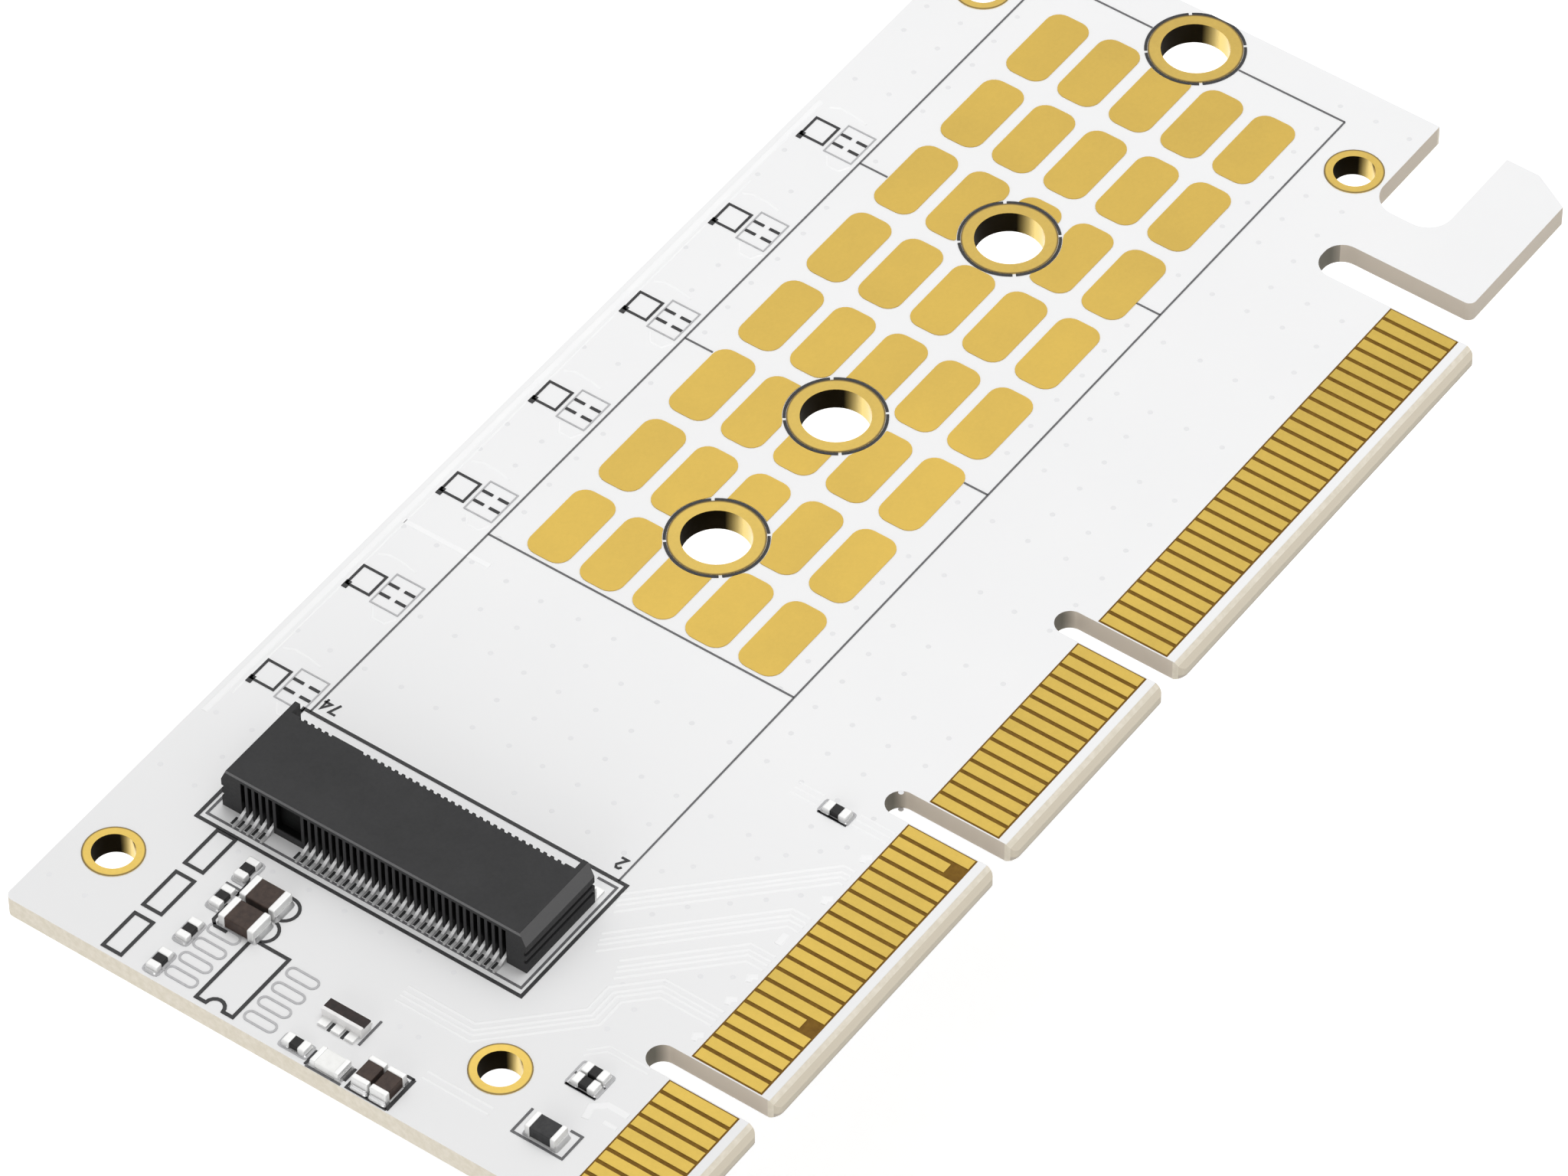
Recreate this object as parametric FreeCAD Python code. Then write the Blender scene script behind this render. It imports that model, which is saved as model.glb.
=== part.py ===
import FreeCAD, Part
import math
import os

# Low-profile adapter card that carries one M.2 solid-state drive in a sixteen-lane edge slot.
# Layout axes: u runs along the edge fingers from the centre of contact 1, v runs up from a line
# just inside the card's bevelled lower edge, z runs up from the underside.  The written parts are moved so that the
# origin lies at the middle of the card's footprint, on its underside.

# ---- drive station: datum of the drive's inner edge; its centre line lies midway between the
# corner holes, but for a small offset
drive_datum = 15.0
drive_axis_offset = 0.05
drive_lengths = [30.0, 42.0, 60.0, 80.0]
standoff_bore = 4.3
standoff_land = 5.9
standoff_clear = 6.4
plating_wall = 0.18

# ---- card: the thickness is taken over the gold contacts, which stand proud of the board
card_left_margin = 0.55
card_right_margin = 3.05
card_height = 44.2
card_thickness = 1.57
copper_thickness = 0.05
corner_radius = 0.5

# ---- edge connector
finger_pitch = 1.0
finger_width = 0.73
finger_start = 1.0
finger_end = 5.6
short_finger_start = 2.0
edge_nose = 0.3
bevel_run = 0.65
bevel_depth = 0.45
notch_top = 7.9
contact_groups = [(1, 11), (12, 32), (35, 49), (52, 82)]
main_key_after = 11
main_key_skip = 2
short_contacts_top = [17, 31]
short_contacts_bottom = [1]

# ---- end slot, retention hook and its cut-out
slot_width = 2.9
slot_top = 11.55
slot_radius = 1.3
hook_bottom = 1.9
hook_chamfer_run = 1.45
hook_chamfer_top = 4.5
hook_top = 6.85
cutout_top = 11.7
cutout_depth = 7.9
cutout_radius = 1.7

# ---- corner mounting holes
corner_bore = 2.6
corner_land = 3.7
corner_hole_inset_left = 6.15
corner_hole_inset_right = 6.25
corner_hole_inset_top = 3.0
corner_hole_inset_bottom = 13.8

# ---- heat-spreading lands under the drive
land_length = 5.96
land_width = 2.95
land_radius = 0.95
land_corner_steps = 2
land_first = 40.81
land_column_pitch = 7.0
land_row_pitch = 3.8
land_row_offset = -0.16
land_columns = 8
land_rows = 5

# ---- drive socket
socket_length = 21.6
socket_rear = 12.0
socket_height = 3.2
pocket_length = 20.1
slot_floor = 1.3
slot_opening = 0.95
lip_front = 17.65
jaw_front = 18.3
ear_front = 18.45
mouth_chamfer = 0.3
end_chamfer_width = 0.4
end_chamfer_height = 0.95
end_groove_depth = 0.15
end_groove_height = 0.28
end_groove_floors = [0.8, 1.45]
key_offset = 6.125
key_rib_width = 1.1
key_rib_setback = 0.4
contact_pitch = 0.5
contact_width = 0.2
contact_stock = 0.13
contact_channel = 0.3
rear_groove_depth = 0.75
rear_recess_depth = 0.5
rear_recess_floor = 0.55
rear_rib_width = 0.35
roof_channel_depth = 0.5
roof_channel_front = 0.4
floor_channel_length = 2.85
lip_notch_depth = 0.15
rear_tail_reach = 1.0
front_tail_reach = 0.75
peg_inset = 2.0
peg_offset = 9.6
peg_large = 1.5
peg_small = 1.0
peg_length = 1.35
peg_clearance = 0.05
tab_thickness = 0.15
tab_width = 0.6
tab_height = 1.1
tab_reach = 0.9

# ---- chip components: length, width, height, terminal length
resistor_size = (1.6, 0.8, 0.45, 0.45)
bulk_capacitor_size = (2.5, 1.7, 0.9, 0.45)
small_capacitor_size = (2.0, 1.15, 0.85, 0.4)
inductor_size = (2.1, 1.3, 0.85, 0.35)
lamp_size = (2.0, 1.3, 0.55, 0.35)
array_size = (2.8, 0.9, 0.75)
array_place = (3.3, 22.8)
array_lead_width = 0.6
array_near_lead = 0.6
array_far_lead = 0.3
array_lead_thickness = 0.2
array_lead_pitch = 0.95
terminal_wrap = 0.04

# ---- values that follow
board_top = card_thickness - copper_thickness
card_left = -card_left_margin
card_low = -edge_nose
card_right = drive_datum + max(drive_lengths) + card_right_margin
corner_hole_high = card_height - corner_hole_inset_top
corner_hole_low = corner_hole_inset_bottom
drive_axis = (corner_hole_low + corner_hole_high) / 2 + drive_axis_offset
land_axis = drive_axis + land_row_offset
shift_u = -(card_left + card_right) / 2
shift_v = -(card_low + card_height) / 2
socket_low = drive_axis - socket_length / 2
socket_high = drive_axis + socket_length / 2
pocket_low = drive_axis - pocket_length / 2
pocket_high = drive_axis + pocket_length / 2
slot_roof = slot_floor + slot_opening

Z_AXIS = FreeCAD.Vector(0, 0, 1)


def point(u, v, z=0.0):
    return FreeCAD.Vector(u, v, z)


def rounded_wire(corners, steps=0):
    """Closed wire through (u, v, radius) corners, with tangent arcs or that many chords each."""
    starts = []
    ends = []
    arcs = []
    count = len(corners)
    for index, (u, v, radius) in enumerate(corners):
        here = point(u, v)
        before = point(*corners[index - 1][:2]) - here
        after = point(*corners[(index + 1) % count][:2]) - here
        before.normalize()
        after.normalize()
        if radius <= 0:
            starts.append(here)
            ends.append(here)
            arcs.append(None)
            continue
        half_angle = before.getAngle(after) / 2
        reach = radius / math.tan(half_angle)
        bisector = before + after
        bisector.normalize()
        middle = here + bisector * (radius / math.sin(half_angle) - radius)
        starts.append(here + before * reach)
        ends.append(here + after * reach)
        arcs.append(middle)
    edges = []
    for index in range(count):
        if arcs[index] is not None:
            arc = Part.Arc(starts[index], arcs[index], ends[index]).toShape()
            if steps:
                edges.extend(Part.makePolygon(arc.discretize(steps + 1)).Edges)
            else:
                edges.append(arc)
        following = starts[(index + 1) % count]
        if ends[index].distanceToPoint(following) > 1e-6:
            edges.append(Part.LineSegment(ends[index], following).toShape())
    return Part.Wire(edges)


def slab(face, bottom, thickness):
    """Prism over a flat face drawn at z = 0."""
    lifted = face.copy()
    lifted.translate(point(0, 0, bottom))
    return lifted.extrude(point(0, 0, thickness))


def block(u_low, v_low, z_low, u_high, v_high, z_high):
    size = (u_high - u_low, v_high - v_low, z_high - z_low)
    return Part.makeBox(*size, point(u_low, v_low, z_low))


def side_prism(profile, v_middle, width):
    """Prism of a (u, z) outline, as wide as given and centred on v."""
    points = [point(u, v_middle - width / 2, board_top + z) for u, z in profile]
    face = Part.Face(Part.makePolygon(points + points[:1]))
    return face.extrude(point(0, width, 0))


def strip_outline(path, stock):
    """Outline of sheet stock bent along a (u, z) centre line, with mitred bends."""
    above = []
    below = []
    for index, (u, z) in enumerate(path):
        normals = []
        if index > 0:
            du = u - path[index - 1][0]
            dz = z - path[index - 1][1]
            normals.append((-dz / math.hypot(du, dz), du / math.hypot(du, dz)))
        if index < len(path) - 1:
            du = path[index + 1][0] - u
            dz = path[index + 1][1] - z
            normals.append((-dz / math.hypot(du, dz), du / math.hypot(du, dz)))
        nu = sum(normal[0] for normal in normals) / len(normals)
        nz = sum(normal[1] for normal in normals) / len(normals)
        square = nu * nu + nz * nz
        above.append((u + nu / square * stock / 2, z + nz / square * stock / 2))
        below.append((u - nu / square * stock / 2, z - nz / square * stock / 2))
    return above + below[::-1]


def write(name, shape):
    placed = shape.copy()
    placed.translate(point(shift_u, shift_v))
    placed.exportStep("parts/" + name + ".step")


# ---- edge connector
def finger_u(contact):
    """Centre of an edge contact; the main key takes the room of two contacts."""
    skipped = main_key_skip if contact > main_key_after else 0
    return (contact - 1 + skipped) * finger_pitch


def tongue_span(group):
    first, last = group
    return finger_u(first) - card_left_margin, finger_u(last) + card_left_margin


def card_outline():
    """Corners of the card blank: tongues with full-radius keys, end slot, hook and cut-out."""
    corners = []
    for index, group in enumerate(contact_groups):
        left, right = tongue_span(group)
        if index == 0:
            left = card_left
        else:
            key_radius = (left - corners[-1][0]) / 2
            corners.append((corners[-1][0], notch_top, key_radius))
            corners.append((left, notch_top, key_radius))
        corners.append((left, card_low, corner_radius))
        corners.append((right, card_low, corner_radius))
    slot_left = corners[-1][0]
    slot_right = slot_left + slot_width
    corners.append((slot_left, slot_top, slot_radius))
    corners.append((slot_right, slot_top, slot_radius))
    corners.append((slot_right, hook_bottom, corner_radius))
    corners.append((card_right - hook_chamfer_run, hook_bottom, 0.0))
    corners.append((card_right, hook_chamfer_top, 0.0))
    corners.append((card_right, hook_top, 0.0))
    corners.append((card_right - cutout_depth, hook_top, cutout_radius))
    corners.append((card_right - cutout_depth, cutout_top, cutout_radius))
    corners.append((card_right, cutout_top, 0.0))
    corners.append((card_right, card_height, corner_radius))
    corners.append((card_left, card_height, corner_radius))
    return corners


def bevel_cutter(surface, inward):
    """Wedge that bevels the whole lower edge on one side of the board."""
    depth = inward * bevel_depth
    foot = card_low + bevel_run
    corners = [(card_low, surface), (foot, surface), (card_low, surface + depth)]
    points = [point(card_left, v, z) for v, z in corners]
    face = Part.Face(Part.makePolygon(points + points[:1]))
    return face.extrude(point(card_right - card_left, 0, 0))


def fingers(group, bottom, short_contacts):
    """One row of gold contacts on a tongue."""
    first, last = group
    pads = []
    for contact in range(first, last + 1):
        start = short_finger_start if contact in short_contacts else finger_start
        left = finger_u(contact) - finger_width / 2
        right = left + finger_width
        pads.append(block(left, start, bottom, right, finger_end, bottom + copper_thickness))
    return Part.makeCompound(pads)


# ---- holes and lands
standoffs = [(drive_datum + length, drive_axis) for length in drive_lengths]
corner_holes = [
    (card_left + corner_hole_inset_left, corner_hole_low),
    (card_left + corner_hole_inset_left, corner_hole_high),
    (card_right - corner_hole_inset_right, corner_hole_low),
    (card_right - corner_hole_inset_right, corner_hole_high),
]
peg_holes = [
    (socket_rear + peg_inset, drive_axis - peg_offset, peg_small),
    (socket_rear + peg_inset, drive_axis + peg_offset, peg_large),
]


def plated_hole(centre, bore, land):
    """Copper barrel through the card with a flat land on each face."""
    u, v = centre
    barrel = Part.makeCylinder(bore / 2 + plating_wall, card_thickness, point(u, v))
    for bottom in (0.0, board_top):
        barrel = barrel.fuse(Part.makeCylinder(land / 2, copper_thickness, point(u, v, bottom)))
    barrel = barrel.cut(Part.makeCylinder(bore / 2, card_thickness, point(u, v)))
    return barrel.removeSplitter()


def heat_land(u, v):
    """One rounded land, cut back round each standoff hole that it comes near."""
    half_u = land_length / 2
    half_v = land_width / 2
    corners = [
        (u - half_u, v - half_v, land_radius),
        (u + half_u, v - half_v, land_radius),
        (u + half_u, v + half_v, land_radius),
        (u - half_u, v + half_v, land_radius),
    ]
    face = Part.Face(rounded_wire(corners, land_corner_steps))
    land = slab(face, board_top, copper_thickness)
    reach = standoff_clear / 2
    for hole_u, hole_v in standoffs:
        if abs(hole_u - u) < half_u + reach and abs(hole_v - v) < half_v + reach:
            land = land.cut(Part.makeCylinder(reach, card_thickness, point(hole_u, hole_v)))
    return land.Solids


def heat_lands():
    lands = []
    for column in range(land_columns):
        for row in range(land_rows):
            u = land_first + column * land_column_pitch
            v = land_axis + (row - (land_rows - 1) / 2) * land_row_pitch
            lands += heat_land(u, v)
    return Part.makeCompound(lands)


def circuit_board():
    """Board blank with its bevelled contact edge and every hole."""
    blank = Part.Face(rounded_wire(card_outline()))
    board = slab(blank, copper_thickness, board_top - copper_thickness)
    cutters = [bevel_cutter(copper_thickness, 1), bevel_cutter(board_top, -1)]
    holes = [(u, v, standoff_bore / 2 + plating_wall) for u, v in standoffs]
    holes += [(u, v, corner_bore / 2 + plating_wall) for u, v in corner_holes]
    holes += [(u, v, size / 2 + peg_clearance) for u, v, size in peg_holes]
    for u, v, radius in holes:
        cutters.append(Part.makeCylinder(radius, card_thickness, point(u, v)))
    return board.cut(Part.makeCompound(cutters))


# ---- drive socket
def contact_rows():
    """Positions along v of the upper (odd) and lower (even) contacts, clear of the key."""
    upper = []
    lower = []
    key_half = key_rib_width / 2 + contact_channel
    for number in range(1, 76):
        v = drive_axis + (number - 38) * contact_pitch / 2
        if abs(v - drive_axis - key_offset) <= key_half + contact_pitch / 2:
            continue
        if number % 2:
            upper.append(v)
        else:
            lower.append(v)
    return upper, lower


def end_wall(outer, inner):
    """End of the socket: chamfered shoulder above two grooves, running out to the ear."""
    side = 1 if inner > outer else -1
    shoulder = outer + side * end_chamfer_width
    recess = outer + side * end_groove_depth
    chamfer_foot = socket_height - end_chamfer_height
    outline = [(inner, 0.0), (outer, 0.0)]
    for floor in end_groove_floors:
        top = floor + end_groove_height
        outline += [(outer, floor), (recess, floor), (recess, top), (outer, top)]
    outline += [(outer, chamfer_foot), (shoulder, socket_height), (inner, socket_height)]
    points = [point(socket_rear, v, board_top + z) for v, z in outline]
    face = Part.Face(Part.makePolygon(points + points[:1]))
    return face.extrude(point(ear_front - socket_rear, 0, 0))


def socket_housing(upper, lower):
    """Moulded body: card slot with a key rib, contact channels, chamfered ends and pegs."""
    section = [
        (socket_rear, 0.0),
        (jaw_front, 0.0),
        (jaw_front, slot_floor - mouth_chamfer),
        (jaw_front - mouth_chamfer, slot_floor),
        (drive_datum, slot_floor),
        (drive_datum, slot_roof),
        (lip_front - mouth_chamfer, slot_roof),
        (lip_front, slot_roof + mouth_chamfer),
        (lip_front, socket_height),
        (socket_rear, socket_height),
    ]
    body = side_prism(section, drive_axis, pocket_length)
    rib_front = lip_front - key_rib_setback
    rib_middle = drive_axis + key_offset
    rib = block(
        drive_datum,
        rib_middle - key_rib_width / 2,
        board_top + slot_floor,
        rib_front,
        rib_middle + key_rib_width / 2,
        board_top + slot_roof,
    )
    parts = [rib, end_wall(socket_low, pocket_low), end_wall(socket_high, pocket_high)]
    for u, v, size in peg_holes:
        base = point(u, v, board_top - peg_length)
        parts.append(Part.makeCylinder(size / 2, peg_length, base))
    body = body.multiFuse(parts).removeSplitter()

    channel_roof = slot_roof + roof_channel_depth
    groove_front = socket_rear + rear_groove_depth
    channel_front = lip_front - roof_channel_front
    rear_channel = [
        (socket_rear, 0.0),
        (groove_front, 0.0),
        (groove_front, slot_roof),
        (channel_front, slot_roof),
        (channel_front, channel_roof),
        (socket_rear, channel_roof),
    ]
    lip_notch = [
        (lip_front - lip_notch_depth, slot_roof),
        (lip_front, slot_roof),
        (lip_front, socket_height),
        (lip_front - lip_notch_depth, socket_height),
    ]
    floor_channel = [
        (jaw_front - floor_channel_length, 0.0),
        (jaw_front, 0.0),
        (jaw_front, slot_floor),
        (jaw_front - floor_channel_length, slot_floor),
    ]
    cutters = [side_prism(rear_channel, v, contact_channel) for v in upper]
    cutters += [side_prism(lip_notch, v, contact_channel) for v in upper]
    cutters += [side_prism(floor_channel, v, contact_channel) for v in lower]
    below_key = max(v for v in upper if v < rib_middle)
    above_key = min(v for v in upper if v > rib_middle)
    recess = [
        (socket_rear, rear_recess_floor),
        (socket_rear + rear_recess_depth, rear_recess_floor),
        (socket_rear + rear_recess_depth, channel_roof),
        (socket_rear, channel_roof),
    ]
    recess_width = above_key - below_key - 2 * rear_rib_width
    cutters.append(side_prism(recess, (above_key + below_key) / 2, recess_width))
    return body.cut(Part.makeCompound(cutters))


def upper_contact_path():
    """Rear foot, knee, riser in the rear groove, beam under the roof and spring tip."""
    foot_z = contact_stock / 2
    riser_u = socket_rear + rear_groove_depth / 2
    beam_z = slot_roof + roof_channel_depth / 2
    tip_u = lip_front - roof_channel_front - contact_stock
    return [
        (socket_rear - rear_tail_reach, foot_z),
        (socket_rear - rear_tail_reach / 2, foot_z),
        (riser_u, 7 * foot_z),
        (riser_u, beam_z),
        (drive_datum, beam_z),
        (tip_u - 4 * contact_stock, slot_roof - contact_stock / 2),
        (tip_u, slot_roof + contact_stock),
    ]


def lower_contact_path():
    """Front foot, run below the slot, folded spring and raised tip."""
    foot_z = contact_stock / 2
    back_u = jaw_front - floor_channel_length + contact_stock
    run_z = foot_z + contact_stock
    tip_u = lip_front - contact_stock
    return [
        (jaw_front + front_tail_reach, foot_z),
        (jaw_front, foot_z),
        (jaw_front - 2 * contact_stock, run_z),
        (back_u, run_z),
        (back_u, slot_floor - 3 * contact_stock),
        (tip_u - 2 * contact_stock, slot_floor + contact_stock / 2),
        (tip_u, slot_floor - contact_stock),
    ]


def contact_row(path, positions):
    outline = strip_outline(path, contact_stock)
    return Part.makeCompound([side_prism(outline, v, contact_width) for v in positions])


def hold_down_tab(v_middle):
    """Angle of sheet metal against the front of an ear, with its foot on the card."""
    path = [
        (ear_front + tab_reach, tab_thickness / 2),
        (ear_front + tab_thickness / 2, tab_thickness / 2),
        (ear_front + tab_thickness / 2, tab_height),
    ]
    return side_prism(strip_outline(path, tab_thickness), v_middle, tab_width)


# ---- chip components
def chip(u, v, size, along_v):
    """Ceramic body and its two metal end caps, standing on the card."""
    length, width, height, terminal = size
    ends = []
    for sign in (-1, 1):
        inner = sign * (length / 2 - terminal)
        outer = sign * length / 2
        low, high = min(inner, outer), max(inner, outer)
        ends.append(block(low, -width / 2, board_top, high, width / 2, board_top + height))
    half_body = length / 2 - terminal
    half_width = width / 2 - terminal_wrap
    top = board_top + height - terminal_wrap
    base = board_top + terminal_wrap
    body = block(-half_body, -half_width, base, half_body, half_width, top)
    shapes = [body, Part.makeCompound(ends)]
    for shape in shapes:
        if along_v:
            shape.rotate(point(0, 0), Z_AXIS, 90)
        shape.translate(point(u, v))
    return shapes


def chip_array(u, v):
    """Long ceramic body with three wide leads on each long side."""
    length, width, height = array_size
    near = u - width / 2
    far = u + width / 2
    body = block(near, v - length / 2, board_top, far, v + length / 2, board_top + height)
    leads = []
    for index in (-1, 0, 1):
        low = v + index * array_lead_pitch - array_lead_width / 2
        high = low + array_lead_width
        lead_top = board_top + array_lead_thickness
        leads.append(block(near - array_near_lead, low, board_top, near, high, lead_top))
        leads.append(block(far, low, board_top, far + array_far_lead, high, lead_top))
    return body, Part.makeCompound(leads)


os.makedirs("parts", exist_ok=True)

write("circuit_board", circuit_board())
write("heat_lands", heat_lands())

for index, group in enumerate(contact_groups, 1):
    write("edge_contacts_top_%d" % index, fingers(group, board_top, short_contacts_top))
    write("edge_contacts_bottom_%d" % index, fingers(group, 0.0, short_contacts_bottom))

for length, centre in zip(drive_lengths, standoffs):
    write("standoff_barrel_%d" % length, plated_hole(centre, standoff_bore, standoff_land))
for index, centre in enumerate(corner_holes, 1):
    write("mounting_barrel_%d" % index, plated_hole(centre, corner_bore, corner_land))

upper_row, lower_row = contact_rows()
write("socket_housing", socket_housing(upper_row, lower_row))
write("socket_upper_contacts", contact_row(upper_contact_path(), upper_row))
write("socket_lower_contacts", contact_row(lower_contact_path(), lower_row))
tab_inset = tab_width / 2
write("socket_tab_low", hold_down_tab(socket_low + tab_inset))
write("socket_tab_high", hold_down_tab(socket_high - tab_inset))

chips = [
    ("resistor_1", 0.7, 34.0, resistor_size, False),
    ("resistor_2", 3.4, 34.0, resistor_size, False),
    ("resistor_3", 6.4, 34.0, resistor_size, False),
    ("resistor_4", 8.8, 34.1, resistor_size, False),
    ("resistor_5", 0.35, 24.0, resistor_size, True),
    ("resistor_6", 7.4, 9.2, resistor_size, True),
    ("resistor_7", 8.3, 9.2, resistor_size, True),
    ("resistor_8", 31.75, 9.45, resistor_size, True),
    ("capacitor_1", 5.65, 31.8, bulk_capacitor_size, True),
    ("capacitor_2", 7.6, 31.8, bulk_capacitor_size, True),
    ("capacitor_3", 0.8, 19.25, small_capacitor_size, False),
    ("capacitor_4", 0.8, 17.95, small_capacitor_size, False),
    ("inductor", 3.3, 8.9, inductor_size, True),
    ("indicator_lamp", 0.3, 21.6, lamp_size, True),
]
for name, u, v, size, along_v in chips:
    body, ends = chip(u, v, size, along_v)
    write(name + "_body", body)
    write(name + "_ends", ends)
array_body, array_leads = chip_array(*array_place)
write("chip_array_body", array_body)
write("chip_array_leads", array_leads)
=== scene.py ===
import math

import bpy
import numpy as np
from mathutils import Matrix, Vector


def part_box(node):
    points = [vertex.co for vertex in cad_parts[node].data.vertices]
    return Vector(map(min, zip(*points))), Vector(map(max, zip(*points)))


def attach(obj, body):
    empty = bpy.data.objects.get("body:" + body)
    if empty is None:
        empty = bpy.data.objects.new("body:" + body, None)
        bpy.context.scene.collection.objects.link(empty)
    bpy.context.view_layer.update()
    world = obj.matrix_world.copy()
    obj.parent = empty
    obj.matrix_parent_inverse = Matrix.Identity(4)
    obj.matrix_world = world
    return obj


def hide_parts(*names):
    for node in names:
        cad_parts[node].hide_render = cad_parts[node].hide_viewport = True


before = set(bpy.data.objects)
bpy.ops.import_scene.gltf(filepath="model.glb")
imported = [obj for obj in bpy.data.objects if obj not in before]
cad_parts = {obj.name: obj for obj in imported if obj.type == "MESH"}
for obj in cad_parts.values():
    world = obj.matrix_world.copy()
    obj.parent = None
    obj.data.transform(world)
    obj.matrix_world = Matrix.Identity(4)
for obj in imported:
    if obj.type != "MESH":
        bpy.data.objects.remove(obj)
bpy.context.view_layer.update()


# ==============================================================
# Circuit board.  A 1.57 mm glass-epoxy panel, pressed from woven glass and resin, routed
# to outline with its slots and hook, and its contact edge bevelled.  Both faces carry a
# baked white solder mask; the routed edges show the bare straw-coloured laminate.
# ==============================================================
MM = 0.001
LAYOUT_MIDDLE_U = 48.75
LAYOUT_MIDDLE_V = 21.95
MASK_TOP = 1.52
MASK_BOTTOM = 0.05
MASK_SKIN = 0.012
OUTER_WALL_X = 49.1
OUTER_WALL_Y = 21.5
HOOK_X = 37.4
NOSE_Y = -21.9
NOSE_RIM_TOP = 0.66
NOSE_RIM_FOOT = 0.52
# Where the painted shade that greys the mask toward the card's low end starts, and where it is
# full.
SHADE_START_X = -12.0
SHADE_FULL_X = -44.0
WEAVE_PITCH = 0.45
MASK_WHITE = (0.855, 0.855, 0.857)
MASK_CLOUD = (0.835, 0.836, 0.840)
# Painted shade: the greyer mask toward the card's low end.
MASK_PAINTED_SHADE = (0.785, 0.785, 0.787)
LAMINATE_STRAW = (0.74, 0.68, 0.56)
LAMINATE_GLASS = (0.82, 0.76, 0.65)
# Painted shade on the bevelled nose, and deeper painted shade along its lowest part.
LAMINATE_NOSE_SHADE = (0.655, 0.590, 0.475)
NOSE_FOOT_SHADE = (0.50, 0.45, 0.38)
# Painted shade on the walls inside the slots, and darker painted shade at their round ends.
LAMINATE_SLOT_SHADE = (0.65, 0.58, 0.49)
SLOT_END_SHADE = (0.17, 0.16, 0.13)


def place(u, v, z):
    """Layout millimetres to metres in the part's frame: x = u - 48.75, y = v - 21.95, z up from
    the underside, all over 1000.  The three arrays broadcast; the last axis holds x, y, z."""
    u, v, z = np.broadcast_arrays(
        np.asarray(u, float), np.asarray(v, float), np.asarray(z, float)
    )
    return np.stack([u - LAYOUT_MIDDLE_U, v - LAYOUT_MIDDLE_V, z], axis=-1) * MM


class Recipe:
    """A node tree in the making.  Each method adds one node, feeds it with numbers, colours or
    other nodes' outputs, and gives back its own output."""

    def __init__(self, tree):
        self.nodes, self.links = tree.nodes, tree.links

    def feed(self, socket, value):
        if isinstance(value, bpy.types.NodeSocket):
            self.links.new(value, socket)
        else:
            socket.default_value = (*value, 1.0) if isinstance(value, tuple) else value

    def add(self, kind, output, values):
        node = self.nodes.new(kind)
        for name, value in values.items():
            self.feed(node.inputs[name], value)
        return node.outputs[output]

    def coords(self, output="Object"):
        return self.add("ShaderNodeTexCoord", output, {})

    def split(self, vector):
        node = self.nodes.new("ShaderNodeSeparateXYZ")
        self.feed(node.inputs[0], vector)
        return tuple(node.outputs)

    def noise(self, vector, scale, detail=3.0, roughness=0.55):
        values = {"Vector": vector, "Scale": scale, "Detail": detail, "Roughness": roughness}
        return self.add("ShaderNodeTexNoise", "Fac", values)

    def math(self, operation, a, b=0.0):
        node = self.nodes.new("ShaderNodeMath")
        node.operation = operation
        self.feed(node.inputs[0], a)
        self.feed(node.inputs[1], b)
        return node.outputs[0]

    def times(self, a, b):
        return self.math("MULTIPLY", a, b)

    def plus(self, a, b):
        return self.math("ADD", a, b)

    def above(self, value, limit):
        return self.math("GREATER_THAN", value, limit)

    def below(self, value, limit):
        return self.math("LESS_THAN", value, limit)

    def ramp(self, value, low, high, out_low=0.0, out_high=1.0):
        """Straight-line map of value from low..high to out_low..out_high, clamped."""
        names = ("Value", "From Min", "From Max", "To Min", "To Max")
        values = dict(zip(names, (value, low, high, out_low, out_high)))
        return self.add("ShaderNodeMapRange", "Result", values)

    def blend(self, factor, first, second):
        """Colour that goes from first to second as the factor goes from 0 to 1."""
        node = self.nodes.new("ShaderNodeMix")
        node.data_type = "RGBA"
        for socket, value in zip((0, 6, 7), (factor, first, second)):
            self.feed(node.inputs[socket], value)
        return node.outputs[2]

    def bump(self, height, strength, distance):
        values = {"Height": height, "Strength": strength, "Distance": distance}
        return self.add("ShaderNodeBump", "Normal", values)

    def use(self, group, **values):
        node = self.nodes.new("ShaderNodeGroup")
        node.node_tree = group
        for name, value in values.items():
            self.feed(node.inputs[name], value)
        return node.outputs


class Effect(Recipe):
    """A shared node group: a Vector and named numbers go in, named numbers come out."""

    def __init__(self, name, inputs, outputs):
        self.group = bpy.data.node_groups.new(name, "ShaderNodeTree")
        add_socket = self.group.interface.new_socket
        add_socket("Vector", in_out="INPUT", socket_type="NodeSocketVector")
        for direction, names in (("INPUT", inputs), ("OUTPUT", outputs)):
            for socket in names:
                add_socket(socket, in_out=direction, socket_type="NodeSocketFloat")
        super().__init__(self.group)
        self.given = self.nodes.new("NodeGroupInput").outputs
        self.result = self.nodes.new("NodeGroupOutput").inputs

    def done(self, **values):
        for name, value in values.items():
            self.feed(self.result[name], value)
        return self.group


class Finish(Recipe):
    """A node material, which ends in its Principled shader."""

    def __init__(self, name):
        self.material = bpy.data.materials.new(name)
        self.material.use_nodes = True
        super().__init__(self.material.node_tree)
        self.shader = self.nodes["Principled BSDF"]

    def lay(self, **values):
        """Feeds the shader's sockets, whose names are written with _ for each space."""
        for name, value in values.items():
            self.feed(self.shader.inputs[name.replace("_", " ")], value)
        return self.material


def dress(material, *names):
    """Puts one material on CAD nodes, each of which has one slot."""
    for name in names:
        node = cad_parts[name]
        node.data.materials.clear()
        node.data.materials.append(material)


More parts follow.
